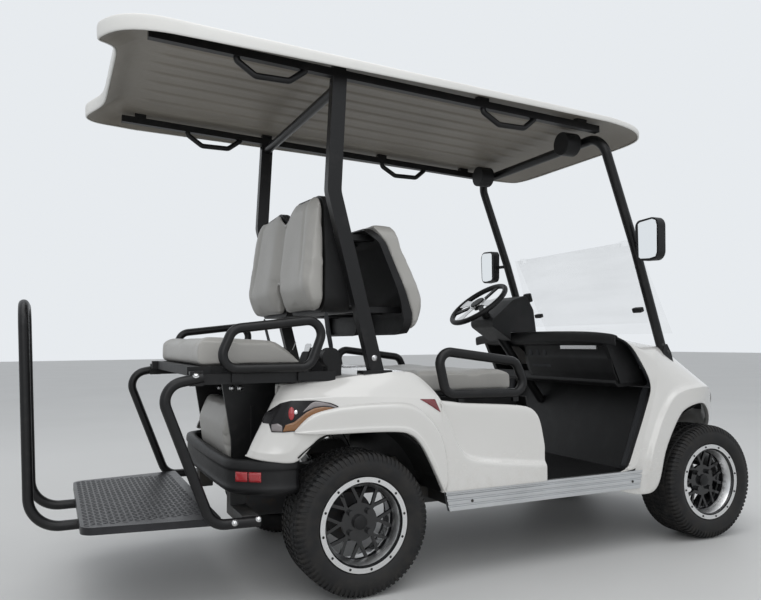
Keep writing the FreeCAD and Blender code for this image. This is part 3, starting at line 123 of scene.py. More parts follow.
class Finish:
    """One node material on a Principled shader, and the record slot that it belongs to."""

    def __init__(self, name, slot, colour, roughness, **constants):
        self.slot = slot
        self.material = bpy.data.materials.new(name)
        self.material.use_nodes = True
        self.tree = self.material.node_tree
        self.shader = self.tree.nodes["Principled BSDF"]
        self.set("Base Color", colour)
        self.set("Roughness", roughness)
        for socket, value in constants.items():
            self.set(socket.replace("_", " "), value)
        self.place = self.add("ShaderNodeTexCoord", output="Object")

    def plug(self, socket, value):
        if isinstance(value, Value):
            self.tree.links.new(value.socket, socket)
        elif isinstance(value, tuple) and len(value) == 3 and socket.type == "RGBA":
            socket.default_value = (*value, 1.0)
        else:
            socket.default_value = value

    def add(self, kind, settings=None, inputs=None, output=0):
        """Any node: its settings first, then the values or links of its sockets."""
        node = self.tree.nodes.new(kind)
        for key, value in (settings or {}).items():
            setattr(node, key, value)
        for key, value in (inputs or {}).items():
            self.plug(node.inputs[key], value)
        return Value(self, node.outputs[output])

    def set(self, socket, value):
        self.plug(self.shader.inputs[socket], value)

    def stretched(self, x, y, z):
        return self.add("ShaderNodeMapping", {}, {"Vector": self.place, "Scale": (x, y, z)})

    def grain(self, scale, detail=4.0, place=None):
        """Noise from 0 to 1 over the piece; scale counts its cells to a metre."""
        return self.add("ShaderNodeTexNoise", {}, {"Vector": place or self.place, "Scale": scale, "Detail": detail})

    def cells(self, scale, feature="F1"):
        return self.add("ShaderNodeTexVoronoi", {"feature": feature}, {"Vector": self.place, "Scale": scale})

    def blend(self, factor, low, high):
        """A colour that runs from low to high with the factor."""
        return self.add("ShaderNodeMix", {"data_type": "RGBA"}, {0: factor, 6: low, 7: high}, output=2)

    def ramp(self, factor, low, high):
        """A number that is 0 below low, 1 above high, and even between."""
        return self.add("ShaderNodeMapRange", {}, {"Value": factor, "From Min": low, "From Max": high})

    def bump(self, height, depth, strength=1.0):
        self.set("Normal", self.add("ShaderNodeBump", {}, {"Height": height, "Distance": depth, "Strength": strength}))

    def axes(self):
        node = self.tree.nodes.new("ShaderNodeSeparateXYZ")
        self.tree.links.new(self.place.socket, node.inputs[0])
        return [Value(self, out) for out in node.outputs]


def pearl_paint():
    paint = Finish("pearl_paint", "body_paint", (0.70, 0.69, 0.66), 0.22, Coat_Weight=0.7, Coat_Roughness=0.06,
                   IOR=1.5)
    flakes = paint.cells(2600.0)
    cloud = paint.grain(3.5, 2.0)
    height = paint.axes()[2]
    splash = paint.ramp(height, 0.52, 0.30) * paint.ramp(paint.grain(38.0, 6.0), 0.45, 0.75)
    tone = paint.blend(cloud, (0.66, 0.65, 0.625), (0.72, 0.71, 0.685))
    paint.set("Base Color", paint.blend(splash * 0.35, tone, (0.50, 0.47, 0.42)))
    paint.set("Roughness", 0.20 + splash * 0.35 + paint.grain(900.0, 1.0) * 0.05)
    paint.bump(flakes * 0.15 + paint.grain(140.0, 2.0), 0.00012, 0.35)
    return paint


def roof_plastic(name, light, dark):
    skin = Finish(name, "roof_plastic", light, 0.45)
    cloud = skin.grain(2.2, 5.0)
    skin.set("Base Color", skin.blend(skin.ramp(cloud, 0.35, 0.7), light, dark))
    skin.set("Roughness", 0.38 + skin.grain(60.0) * 0.18)
    skin.bump(skin.cells(700.0), 0.00015, 0.4)
    return skin


def black_paint():
    paint = Finish("black_powder_coat", "black_metal", (0.006, 0.006, 0.006), 0.35, Specular_IOR_Level=0.35)
    worn = paint.ramp(paint.grain(24.0, 8.0), 0.55, 0.85)
    paint.set("Base Color", paint.blend(worn, (0.005, 0.005, 0.0055), (0.016, 0.015, 0.015)))
    paint.set("Roughness", 0.30 + paint.grain(180.0, 2.0) * 0.14)
    paint.bump(paint.grain(1100.0, 2.0), 0.0002, 0.35)
    return paint


def black_plastic(name="moulded_black", slot="black_plastic", tone=(0.008, 0.008, 0.0085), roughness=0.5):
    plastic = Finish(name, slot, tone, roughness, Specular_IOR_Level=0.3)
    dust = plastic.ramp(plastic.grain(9.0, 8.0), 0.5, 0.8)
    pale = tuple(c * 1.7 + 0.003 for c in tone)
    plastic.set("Base Color", plastic.blend(dust, tone, pale))
    plastic.set("Roughness", roughness + plastic.grain(40.0) * 0.12 - 0.06)
    plastic.bump(plastic.cells(1300.0), 0.0002, 0.45)
    return plastic


def frame_paint():
    paint = Finish("frame_paint", "frame_metal", (0.02, 0.02, 0.02), 0.55)
    mud = paint.ramp(paint.grain(16.0, 8.0), 0.48, 0.75)
    paint.set("Base Color", paint.blend(mud, (0.016, 0.016, 0.016), (0.055, 0.048, 0.040)))
    paint.set("Roughness", 0.5 + mud * 0.3)
    paint.bump(mud + paint.grain(400.0), 0.0004, 0.5)
    return paint


def cast_metal():
    metal = Finish("cast_metal", "cast_metal", (0.06, 0.06, 0.06), 0.6, Metallic=0.5)
    rust = metal.ramp(metal.grain(30.0, 8.0), 0.55, 0.8)
    metal.set("Base Color", metal.blend(rust, (0.045, 0.045, 0.047), (0.085, 0.06, 0.045)))
    metal.set("Roughness", 0.5 + rust * 0.25)
    metal.bump(metal.grain(600.0, 3.0), 0.0006, 0.6)
    return metal


def seat_leather():
    hide = Finish("seat_leather", "seat_leather", (0.40, 0.39, 0.365), 0.42, Coat_Weight=0.08)
    pebbles = hide.cells(520.0, "DISTANCE_TO_EDGE")
    cloud = hide.grain(7.0, 4.0)
    hide.set("Base Color", hide.blend(cloud, (0.345, 0.335, 0.315), (0.42, 0.41, 0.385)))
    hide.set("Roughness", 0.36 + hide.grain(90.0) * 0.16)
    hide.bump(hide.ramp(pebbles, 0.0, 0.25) + hide.grain(260.0, 3.0) * 0.4, 0.0003, 0.35)
    return hide


def tyre_rubber():
    rubber = Finish("tyre_rubber", "tyre_rubber", (0.012, 0.012, 0.012), 0.75, Specular_IOR_Level=0.35)
    dust = rubber.ramp(rubber.grain(22.0, 9.0), 0.42, 0.72)
    rubber.set("Base Color", rubber.blend(dust, (0.009, 0.009, 0.0095), (0.028, 0.026, 0.024)))
    rubber.set("Roughness", 0.62 + dust * 0.25)
    rubber.bump(rubber.grain(700.0, 4.0), 0.0003, 0.5)
    return rubber


def rim_paint(wheel, axle_x, side):
    """Black spokes, a polished dish and a machined lip, told apart by their distance from the axle."""
    finish = Finish("rim_" + wheel, "rim_black", (0.01, 0.01, 0.01), 0.2, Coat_Weight=0.3)
    x, y, z = finish.axes()
    across = x - axle_x
    rise = z - AXLE_Z
    radius = (across * across + rise * rise) ** 0.5
    depth = y * side
    shine = (radius > 0.1325) * (depth > 0.505)
    groove = (radius > 0.1465) * (radius < 0.1525)
    bright = shine * (1.0 - groove)
    rings = finish.grain(900.0, 2.0, finish.add("ShaderNodeCombineXYZ", {}, {0: radius, 1: depth * 0.4}))
    finish.set("Base Color", finish.blend(bright, (0.010, 0.010, 0.011), (0.74, 0.74, 0.74)))
    finish.set("Metallic", bright)
    finish.set("Roughness", 0.16 + rings * bright * 0.22 + finish.grain(30.0) * 0.06)
    finish.bump(rings * bright, 0.0001, 0.3)
    return finish


def steel(name="bright_steel", slot="ribbed_aluminium", tone=(0.62, 0.62, 0.62), roughness=0.28):
    metal = Finish(name, slot, tone, roughness, Metallic=1.0)
    metal.set("Roughness", roughness - 0.06 + metal.grain(300.0) * 0.14)
    metal.bump(metal.grain(1500.0, 2.0), 0.00005, 0.4)
    return metal


def brushed_aluminium():
    metal = Finish("brushed_aluminium", "ribbed_aluminium", (0.60, 0.61, 0.62), 0.38, Metallic=1.0)
    lines = metal.grain(260.0, 6.0, metal.stretched(0.02, 1.0, 1.0))
    haze = metal.grain(6.0, 5.0)
    metal.set("Base Color", metal.blend(haze, (0.52, 0.53, 0.54), (0.70, 0.71, 0.72)))
    metal.set("Roughness", 0.28 + lines * 0.2)
    metal.bump(lines, 0.00012, 0.5)
    return metal


def screen_plastic():
    """Clear plastic: mostly see-through, with more veil where it is seen edge on."""
    clear = Finish("screen_plastic", "clear_glass", (0.50, 0.52, 0.53), 0.03, IOR=1.45)
    edge = clear.add("ShaderNodeLayerWeight", {}, {"Blend": 0.35}, output="Facing")
    smear = clear.ramp(clear.grain(5.0, 6.0, clear.stretched(1.0, 0.4, 2.5)), 0.4, 0.8)
    clear.set("Alpha", 0.03 + edge ** 4.0 * 0.25 + smear * 0.03)
    clear.set("Roughness", 0.03 + smear * 0.08)
    return clear


def lens(name, tone, roughness=0.08, glow=0.0, ribs=0.0):
    glass = Finish(name, "lamp_glass", tone, roughness, Coat_Weight=1.0, Coat_Roughness=0.03)
    # The glow is painted light: a lens with it gives off a little light of its own. The red and amber lenses have it,
    # and so do the rear reflectors, which share the red lens.
    if glow:
        glass.set("Emission Color", (*tone, 1.0))
        glass.set("Emission Strength", glow)
    depth = glass.grain(26.0, 2.0)
    dark = tuple(c * 0.55 for c in tone)
    glass.set("Base Color", glass.blend(depth, dark, tone))
    if ribs:
        glass.bump(glass.cells(ribs, "F1"), 0.0012, 0.6)
    else:
        glass.bump(depth, 0.0006, 0.3)
    return glass


PEARL = pearl_paint()
ROOF_WHITE = roof_plastic("roof_white", (0.78, 0.775, 0.75), (0.72, 0.715, 0.69))
ROOF_LINING = roof_plastic("roof_lining", (0.25, 0.228, 0.195), (0.20, 0.182, 0.155))
POWDER_COAT = black_paint()
MOULDED = black_plastic()
LINER = black_plastic("liner_black", "black_plastic", (0.003, 0.003, 0.003), 0.85)
TRIM = black_plastic("soft_trim", "black_plastic", (0.024, 0.025, 0.028), 0.6)
TREAD_PLATE = black_plastic("dark_tread_plate", "ribbed_aluminium", (0.016, 0.016, 0.018), 0.34)
BATTERY = black_plastic("battery_case", "battery_case", (0.03, 0.032, 0.036), 0.5)
FRAME_PAINT = frame_paint()
CAST = cast_metal()
LEATHER = seat_leather()
RUBBER = tyre_rubber()
BRIGHT = steel()
CHROME = steel("polished_steel", "ribbed_aluminium", (0.82, 0.82, 0.83), 0.10)
MIRROR = steel("mirror_silver", "clear_glass", (0.88, 0.90, 0.91), 0.04)
ALUMINIUM = brushed_aluminium()
SCREEN = screen_plastic()
SMOKED = black_plastic("smoked_lens", "lamp_glass", (0.006, 0.005, 0.006), 0.16)
# The red and amber lenses carry a weak painted glow (the number after the roughness); the rear reflectors use the red
# lens and glow with it.
RED_LENS = lens("red_lens", (0.42, 0.012, 0.018), 0.1, 0.1, 900.0)
AMBER_LENS = lens("amber_lens", (0.27, 0.10, 0.012), 0.12, 0.03, 500.0)
CLEAR_LENS = lens("clear_lens", (0.27, 0.24, 0.24), 0.1, 0.0, 420.0)
REFLECTOR = lens("dark_red_reflector", (0.22, 0.005, 0.012), 0.12, 0.0, 700.0)


# Making pieces

def own(obj, finish, body="chassis"):
    """Gives a finished piece its material and the body that it rides on."""
    if obj.data.materials:
        obj.data.materials.clear()
    obj.data.materials.append(finish.material)
    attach(obj, body)
    return obj


def placed(name, mesh):
    obj = bpy.data.objects.new(name, mesh)
    bpy.context.scene.collection.objects.link(obj)
    return obj


def from_bmesh(name, form, smooth=True):
    mesh = bpy.data.meshes.new(name)
    for face in form.faces:
        face.smooth = smooth
    form.to_mesh(mesh)
    form.free()
    return placed(name, mesh)


def edged(obj, width, segments=2, angle=30.0):
    """Rounds the sharp edges and evens the shading of a hard piece."""
    bevel = obj.modifiers.new("edges", "BEVEL")
    bevel.width = width
    bevel.segments = segments
    bevel.limit_method = "ANGLE"
    bevel.angle_limit = math.radians(angle)
    bevel.miter_outer = "MITER_ARC"
    even = obj.modifiers.new("shading", "WEIGHTED_NORMAL")
    even.keep_sharp = True
    return obj


def merged_copy(node):
    """The CAD node's mesh as joined faces with flat areas made one."""
    form = bmesh.new()
    form.from_mesh(frame["nodes"][node].data)
    bmesh.ops.remove_doubles(form, verts=form.verts, dist=2e-5)
    bmesh.ops.dissolve_limit(form, angle_limit=math.radians(0.6), verts=form.verts, edges=form.edges)
    return form


def refined(node, finish, width=0.0015, segments=2, form=None):
    """A node's own form, or an edited copy of it, with rounded edges, in place of the node."""
    obj = from_bmesh(node + "_finished", merged_copy(node) if form is None else form)
    edged(obj, width, segments)
    own(obj, finish, frame["nodes"][node]["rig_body"])
    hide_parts(node)


def eased(obj, levels):
    """Subdivides a piece into a smooth one."""
    ease = obj.modifiers.new("ease", "SUBSURF")
    ease.levels = ease.render_levels = levels
    return obj


def walled(obj, thickness, offset):
    """Gives a sheet its thickness."""
    wall = obj.modifiers.new("wall", "SOLIDIFY")
    wall.thickness = thickness
    wall.offset = offset
    return obj


def sheet(form, grid, closed=False):
    """Faces between the rows of a grid of vertices."""
    for low, high in zip(grid, grid[1:]):
        count = len(low)
        for i in range(count if closed else count - 1):
            form.faces.new((low[i], low[(i + 1) % count], high[(i + 1) % count], high[i]))


def outward(form):
    """Turns every face's normal outward."""
    bmesh.ops.recalc_face_normals(form, faces=form.faces)
    return form


def padded_form(form, face, back):
    """Closes two sheets of one layout into a solid."""
    for grid in (face, back, (face[0], back[0]), (face[-1], back[-1])):
        sheet(form, grid)
    for k in (0, -1):
        sheet(form, ([row[k] for row in face], [row[k] for row in back]))
    bmesh.ops.remove_doubles(form, verts=form.verts, dist=1e-5)
    return outward(form)


def ring(form, radius, z, count):
    """Vertices of a level circle."""
    turns = [2 * math.pi * i / count for i in range(count)]
    return [form.verts.new((radius * math.cos(turn), radius * math.sin(turn), z)) for turn in turns]


def apply_modifiers(obj):
    bpy.context.view_layer.update()
    state = bpy.context.evaluated_depsgraph_get()
    mesh = bpy.data.meshes.new_from_object(obj.evaluated_get(state))
    obj.modifiers.clear()
    obj.data = mesh
    return obj


def copies_tree():
    """Sets a small piece on every point of a cloud, turned by the point's own angles."""
    tree = bpy.data.node_groups.new("copies_on_points", "GeometryNodeTree")
    tree.is_modifier = True
    for label, kind in (("Points", "NodeSocketGeometry"), ("Piece", "NodeSocketObject"),
                        ("Finish", "NodeSocketMaterial")):
        tree.interface.new_socket(label, in_out="INPUT", socket_type=kind)
    tree.interface.new_socket("Copies", in_out="OUTPUT", socket_type="NodeSocketGeometry")
    node = {kind: tree.nodes.new(kind) for kind in (
        "NodeGroupInput", "GeometryNodeObjectInfo", "GeometryNodeInputNamedAttribute", "FunctionNodeEulerToRotation",
        "GeometryNodeInstanceOnPoints", "GeometryNodeRealizeInstances", "GeometryNodeSetMaterial", "NodeGroupOutput")}
    given = node["NodeGroupInput"].outputs
    turn = node["GeometryNodeInputNamedAttribute"]
    turn.data_type = "FLOAT_VECTOR"
    turn.inputs["Name"].default_value = "turn"
    spread = node["GeometryNodeInstanceOnPoints"]
    for source, target in (
            (given["Points"], spread.inputs["Points"]),
            (given["Piece"], node["GeometryNodeObjectInfo"].inputs["Object"]),
            (node["GeometryNodeObjectInfo"].outputs["Geometry"], spread.inputs["Instance"]),
            (turn.outputs["Attribute"], node["FunctionNodeEulerToRotation"].inputs[0]),
            (node["FunctionNodeEulerToRotation"].outputs[0], spread.inputs["Rotation"]),
            (spread.outputs[0], node["GeometryNodeRealizeInstances"].inputs[0]),
            (node["GeometryNodeRealizeInstances"].outputs[0], node["GeometryNodeSetMaterial"].inputs["Geometry"]),
            (given["Finish"], node["GeometryNodeSetMaterial"].inputs["Material"]),
            (node["GeometryNodeSetMaterial"].outputs[0], node["NodeGroupOutput"].inputs[0])):
        tree.links.new(source, target)
    return tree


COPIES = copies_tree()


def copies(name, seed, places, finish, body="chassis", smooth=True):
    """One mesh of a seed form repeated at (place, turn) pairs."""
    pattern = from_bmesh(name + "_seed", seed, smooth)
    cloud = bpy.data.meshes.new(name + "_points")
    cloud.from_pydata([place for place, turn in places], [], [])
    angles = cloud.attributes.new("turn", "FLOAT_VECTOR", "POINT")
    for item, (place, turn) in zip(angles.data, places):
        item.vector = Vector(turn)
    holder = placed(name, cloud)
    spread = holder.modifiers.new("copies", "NODES")
    spread.node_group = COPIES
    given = {item.name: item.identifier for item in COPIES.interface.items_tree if item.in_out == "INPUT"}
    spread[given["Piece"]] = pattern
    spread[given["Finish"]] = finish.material
    apply_modifiers(holder)
    bpy.data.objects.remove(pattern)
    return own(holder, finish, body)


def toward(direction):
    """The turn that points a seed's +Z along a direction."""
    return tuple(Vector(direction).to_track_quat("Z", "Y").to_euler())


def bolt_seed(radius, height, sides=6, washer=1.35):
    """A bolt head on its washer, standing on z = 0."""
    form = bmesh.new()
    for count, rings in ((16, ((radius * washer, 0.0), (radius * washer, height * 0.2))),
                         (sides, ((radius, height * 0.22), (radius, height * 0.85), (radius * 0.8, height)))):
        grid = [ring(form, r, z, count) for r, z in rings]
        sheet(form, grid, closed=True)
        form.faces.new(grid[0][::-1])
        form.faces.new(grid[-1])
    return outward(form)


def dome_seed(radius, height, segments=16, rings=5):
    """A round button head."""
    form = bmesh.new()
    turns = [math.pi / 2 * k / rings for k in range(rings)]
    grid = [ring(form, radius * math.cos(turn), height * math.sin(turn), segments) for turn in turns]
    sheet(form, grid, closed=True)
    form.faces.new(grid[0][::-1])
    top = form.verts.new((0, 0, height))
    for i in range(segments):
        form.faces.new((grid[-1][i], grid[-1][(i + 1) % segments], top))
    return form


def pipe(name, points, radius, finish, body):
    """A round bar along a smooth line."""
    curve = bpy.data.curves.new(name, "CURVE")
    curve.dimensions = "3D"
    curve.bevel_depth = radius
    curve.bevel_resolution = 3
    curve.use_fill_caps = True
    line = curve.splines.new("NURBS")
    line.points.add(len(points) - 1)
    for point, place in zip(line.points, points):
        point.co = (*place, 1.0)
    line.order_u = 3
    line.use_endpoint_u = True
    line.resolution_u = 6
    shape = placed(name + "_line", curve)
    bpy.context.view_layer.update()
    mesh = bpy.data.meshes.new_from_object(shape.evaluated_get(bpy.context.evaluated_depsgraph_get()))
    bpy.data.objects.remove(shape)
    for face in mesh.polygons:
        face.use_smooth = True
    return own(placed(name, mesh), finish, body)


def plate(name, outline, thickness, finish, place, body="chassis", bevel=0.0008):
    """A flat plate: an outline in its own plane, given thickness, edges rounded, then put in place by a matrix."""
    form = bmesh.new()
    grid = [[form.verts.new(place @ Vector((x, y, height))) for x, y in outline] for height in (0, thickness)]
    form.faces.new(grid[0][::-1])
    form.faces.new(grid[1])
    sheet(form, grid, closed=True)
    return own(edged(from_bmesh(name, outward(form)), bevel), finish, body)


def surface_finder(names):
    """Looks for the nearest point of some finished pieces along a ray, modifiers included."""
    bpy.context.view_layer.update()
    state = bpy.context.evaluated_depsgraph_get()
    trees = [BVHTree.FromObject(bpy.data.objects[name], state) for name in names]

    def find(start, direction):
        hits = [tree.ray_cast(start, direction) for tree in trees]
        hits = [hit for hit in hits if hit[0] is not None]
        return min(hits, key=lambda hit: hit[3])[:2] if hits else (None, None)
    return find


# Camera, light and floor

PHOTO_EYE = at(-1039, -2984, 922)
YAW, PITCH, ROLL = (math.radians(angle) for angle in (65.19, 3.34, -0.45))
SENSOR, LENS = 36.0, 33.63


def camera():
    """Stands behind and to the right of the cart, at the photograph's place and angle."""
    ahead = Vector((math.cos(PITCH) * math.cos(YAW), math.cos(PITCH) * math.sin(YAW), math.sin(PITCH)))
    level = Vector((math.sin(YAW), -math.cos(YAW), 0))
    rise = level.cross(ahead)
    right = level * math.cos(ROLL) + rise * math.sin(ROLL)
    up = right.cross(ahead)
    optics = bpy.data.cameras.new("viewpoint")
    optics.sensor_width = SENSOR
    optics.lens = LENS
    optics.clip_end = 200.0
    view = placed("viewpoint", optics)
    view.matrix_world = Matrix.Translation(PHOTO_EYE) @ Matrix((right, up, -ahead)).transposed().to_4x4()
    bpy.context.scene.camera = view


def studio():
    """A pale plain floor under plain soft light; what the camera and the gloss see behind is paler still."""
    scene = bpy.context.scene
    scene.view_settings.view_transform = "Standard"
    sky = bpy.data.worlds.new("studio")
    sky.use_nodes = True
    scene.world = sky
    nodes, links = sky.node_tree.nodes, sky.node_tree.links
    nodes.clear()
    light, shown, path, mix, out = (nodes.new("ShaderNode" + kind) for kind in (
        "Background", "Background", "LightPath", "MixShader", "OutputWorld"))
    for glow, colour, strength in ((light, (0.93, 0.96, 1.0, 1), 0.62), (shown, (0.80, 0.83, 0.86, 1), 1.0)):
        glow.inputs["Color"].default_value = colour
        glow.inputs["Strength"].default_value = strength
    seen = path.outputs["Is Camera Ray"]
    for kind in ("Is Glossy Ray", "Is Transmission Ray"):
        either = nodes.new("ShaderNodeMath")
        either.operation = "MAXIMUM"
        links.new(seen, either.inputs[0])
        links.new(path.outputs[kind], either.inputs[1])
        seen = either.outputs[0]
    for source, target in zip((seen, light.outputs[0], shown.outputs[0]), mix.inputs):
        links.new(source, target)
    links.new(mix.outputs[0], out.inputs[0])
    for name, place, size, power, aim in (("overhead", (-0.6, -1.2, 6.0), 7.0, 210.0, (0, 0, 0.6)),
                                          ("side_fill", (-2.5, -6.0, 3.0), 4.0, 70.0, (0, 0, 0.8))):
        lamp = bpy.data.lights.new(name, "AREA")
        lamp.size = size
        lamp.energy = power
        holder = placed(name, lamp)
        holder.location = place
        holder.rotation_euler = (Vector(aim) - Vector(place)).to_track_quat("-Z", "Y").to_euler()
    ground = Finish("pale_floor", "tyre_rubber", (0.60, 0.60, 0.59), 0.55)
    ground.set("Base Color", ground.blend(ground.grain(0.7, 6.0), (0.56, 0.56, 0.55), (0.63, 0.63, 0.62)))
    ground.bump(ground.grain(120.0), 0.0004, 0.3)
    form = bmesh.new()
    bmesh.ops.create_grid(form, x_segments=8, y_segments=8, size=40.0)
    floor = from_bmesh("floor", form)
    floor.data.materials.append(ground.material)


camera()
studio()


# Wheels

TYRE_HALF, BEAD_RADIUS, CROWN_RADIUS, TYRE_STEPS = 107.5, 172.0, 257.4, 128
BLOCK_RADIUS, BLOCK_ROOT, BLOCK_LIFT = 258.0, 6.0, 2.2


def tyre_carcass(centre, side):
    """The tyre's round: beads, walls with a proud ring, shoulders and a grooved crown. Rows are (across, radius)."""
    rows = [(-86, BEAD_RADIUS), (-95, BEAD_RADIUS + 3), (-103, BEAD_RADIUS + 14)]
    rows += [(-TYRE_HALF + inset, radius) for inset, radius in (
        (0.5, BEAD_RADIUS + 30), (1.5, 215), (3, 224), (7, 233), (11, 243), (17, 250))]
    crown = []
    for groove in (-60, -22, 22, 60):
        top = CROWN_RADIUS - abs(groove) * 0.03
        crown += [(groove - 5, top), (groove - 3.5, 251), (groove + 3.5, 251), (groove + 5, top)]
    rows += crown + [(-a, r) for a, r in reversed(rows)]
    form = bmesh.new()
    turns = [2 * math.pi * i / TYRE_STEPS for i in range(TYRE_STEPS)]
    grid = [[form.verts.new(centre + Vector((radius * math.cos(turn), across * side, radius * math.sin(turn))) / 1000)
             for turn in turns] for across, radius in rows]
    sheet(form, grid + grid[:1], closed=True)
    return outward(form)


def block_seed(points, side):
    """One tread block: a strip across the tyre at the top of the wheel. Points are (across, radius, half, skew)."""
    form = bmesh.new()
    low, high = [], []
    for across, radius, half, skew in points:
        for row, r in ((low, radius - BLOCK_ROOT), (high, radius + BLOCK_LIFT)):
            turns = [(sign * half + skew) / BLOCK_RADIUS for sign in (-1, 1)]
            row.append([form.verts.new(Vector((r * math.sin(turn), across * side, r * math.cos(turn))) / 1000)
                        for turn in turns])
    sheet(form, high)
    sheet(form, (low[0], high[0]))
    sheet(form, (low[-1], high[-1]))
    for k in (0, 1):
        sheet(form, ([row[k] for row in low], [row[k] for row in high]))
    return outward(form)


SHOULDER = [(104.0, 222, 3.6, 7.0), (102.5, 234, 4.6, 5.0), (98, 245, 5.2, 3.5), (91, 252.8, 5.6, 1.5),
            (80, 256.2, 5.8, 0.0), (67, 256.8, 5.4, -3.0)]
MIDDLE = [(53, 256.8, 4.6, 3.0), (40, 257.6, 5.2, 0.0), (28, 257.6, 4.6, -3.0)]
CENTRE = [(15, 258.0, 6.0, 3.5), (0, 258.4, 6.6, 0.0), (-15, 258.0, 6.0, -3.5)]


def on_axle(centre, radius, turn, out):
    """A place on a circle round a wheel's axle, some way out of the wheel's middle plane."""
    return centre + Vector((radius * math.cos(turn), out, radius * math.sin(turn)))


def tyre(wheel, side):
    node, body = "tyre_" + wheel, "wheel_" + wheel
    centre = middle(node)
    carcass = from_bmesh(node + "_carcass", tyre_carcass(centre, side))
    edged(carcass, 0.0008, 1, 35)
    own(carcass, RUBBER, body)
    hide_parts(node)
    for label, points, count, sides in (("shoulder", SHOULDER, 80, HANDS), ("middle", MIDDLE, 80, HANDS),
                                        ("centre", CENTRE, 66, HANDS[:1])):
        for hand in sides:
            places = [(centre, (0.0, 2 * math.pi * i / count + 0.01 * hand, 0.0)) for i in range(count)]
            copies("%s_%s_blocks_%s" % (node, label, "a" if hand > 0 else "b"), block_seed(points, hand), places,
                   RUBBER, body, smooth=False)


def rim(wheel, side):
    """The rim with rounded edges, its ring of lip bolts, its nuts, its cap and its valve."""
    node, body = "rim_" + wheel, "wheel_" + wheel
    centre = middle(node)
    refined(node, rim_paint(wheel, centre.x, side), 0.0012, 2)
    outside = toward((0, side, 0))
    bolts = [(on_axle(centre, 0.1615, 2 * math.pi * (i + 0.3) / 12, side * 0.0945), outside) for i in range(12)]
    copies(node + "_lip_bolts", bolt_seed(0.0036, 0.004), bolts, MOULDED, body)
    nuts = [(on_axle(centre, 0.0508, math.radians(45 + 90 * i), side * 0.043), outside) for i in range(4)]
    copies(node + "_nuts", bolt_seed(0.0080, 0.017, 6, 1.15), nuts, BRIGHT, body)
    copies(node + "_cap", dome_seed(0.026, 0.006, 40, 6), [(on_axle(centre, 0, 0, side * 0.0585), outside)], MOULDED,
           body)
    pipe(node + "_valve", [on_axle(centre, 0.128, 2.2, side * out) for out in (0.05, 0.062, 0.08)], 0.003, MOULDED,
         body)


for end_name in ("front", "rear"):
    for side_sign in HANDS:
        wheel_name = handed(end_name, side_sign)
        tyre(wheel_name, side_sign)
        rim(wheel_name, side_sign)


# Seats

def swollen(obj, pressure, most, frames=20):
    """Pads a closed form by a short pressure simulation, with every point held to a few millimetres of travel."""
    start = [v.co.copy() for v in obj.data.vertices]
    scene = bpy.context.scene
    cloth = obj.modifiers.new("air", "CLOTH")
    for key, value in (("quality", 5), ("mass", 0.3), ("tension_stiffness", 12), ("compression_stiffness", 12),
                       ("bending_stiffness", 0.6), ("use_pressure", True), ("uniform_pressure_force", pressure)):
        setattr(cloth.settings, key, value)
    cloth.settings.effector_weights.gravity = 0.0
    cloth.collision_settings.use_collision = False
    cloth.point_cache.frame_start = 1
    cloth.point_cache.frame_end = frames
    for frame_number in range(1, frames + 1):
        scene.frame_set(frame_number)
    apply_modifiers(obj)
    scene.frame_set(1)
    for vertex, before in zip(obj.data.vertices, start):
        move = vertex.co - before
        if move.length > most:
            vertex.co = before + move * (most / move.length)


def soft_form(node, voxel, shrink):
    """The CAD cushion as an even net of small faces, drawn in a little so that it can swell."""
    obj = from_bmesh(node + "_cover", merged_copy(node))
    net = obj.modifiers.new("net", "REMESH")
    net.mode = "VOXEL"
    net.voxel_size = voxel
    smooth = obj.modifiers.new("ease", "SMOOTH")
    smooth.factor = 0.5
    smooth.iterations = 14
    apply_modifiers(obj)
    carved(obj, lambda place, normal: -shrink)
    return obj


def carved(obj, shape):
    """Moves each point along its normal by what the shape gives for its place and normal."""
    mesh = obj.data
    normals = [n.vector.copy() for n in mesh.vertex_normals]
    moves = [shape(v.co, n) for v, n in zip(mesh.vertices, normals)]
    for vertex, normal, move in zip(mesh.vertices, normals, moves):
        vertex.co += normal * move
    mesh.update()


def held(share):
    return min(1.0, max(0.0, share))


def bell(distance, width):
    return math.exp(-(distance / width) ** 2)


def finish_cushion(obj, node, body):
    eased(obj, 1)
    for face in obj.data.polygons:
        face.use_smooth = True
    own(obj, LEATHER, body)
    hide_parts(node)


def seat_back(node, facing):
    """A two-lobed back: a valley between the lobes and a long pressed line down the outer part of each."""
    low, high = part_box(node)
    obj = soft_form(node, 0.009, 0.004)
    swollen(obj, 3.0, 0.010)
    tall = high.z - low.z

    def shape(place, normal):
        if normal.x * facing < 0.25:
            return 0.0
        up = (place.z - low.z) / tall
        y = abs(place.y)
        valley = -0.030 * bell(y, 0.052) * min(1.0, 1.6 - up)
        crease_at = 0.372 - 0.07 * up
        crease = -0.0075 * bell(y - crease_at, 0.011) * held((up - 0.22) * 4) * min(1, (1.02 - up) * 5)
        bolster = 0.005 * bell(y - crease_at - 0.05, 0.03)
        dish = -0.005 * bell(y - 0.2, 0.09) * bell(up - 0.45, 0.35)
        return (valley + crease + bolster + dish) * min(1.0, normal.x * facing)

    carved(obj, shape)
    finish_cushion(obj, node, "chassis")


WELT = 0.355  # how far out the sewn lines run along a bench


def seat_cushion(node, body, crown=0.002):
    """A bench: crowned top, with sewn lines where the side bolsters start."""
    low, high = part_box(node)
    obj = soft_form(node, 0.010, 0.005)
    swollen(obj, 3.5, 0.012)

    def shape(place, normal):
        if normal.z < 0.2:
            return 0.0
        groove = -0.007 * bell(abs(place.y) - WELT, 0.006)
        middle_dip = -0.008 * bell(place.y, 0.03)
        hollow = -0.010 * bell(abs(place.y) - 0.2, 0.12) * bell((place.x - (low.x + high.x) / 2) / 0.16, 1.0)
        return (groove + middle_dip + hollow + crown) * normal.z

    carved(obj, shape)
    finish_cushion(obj, node, body)


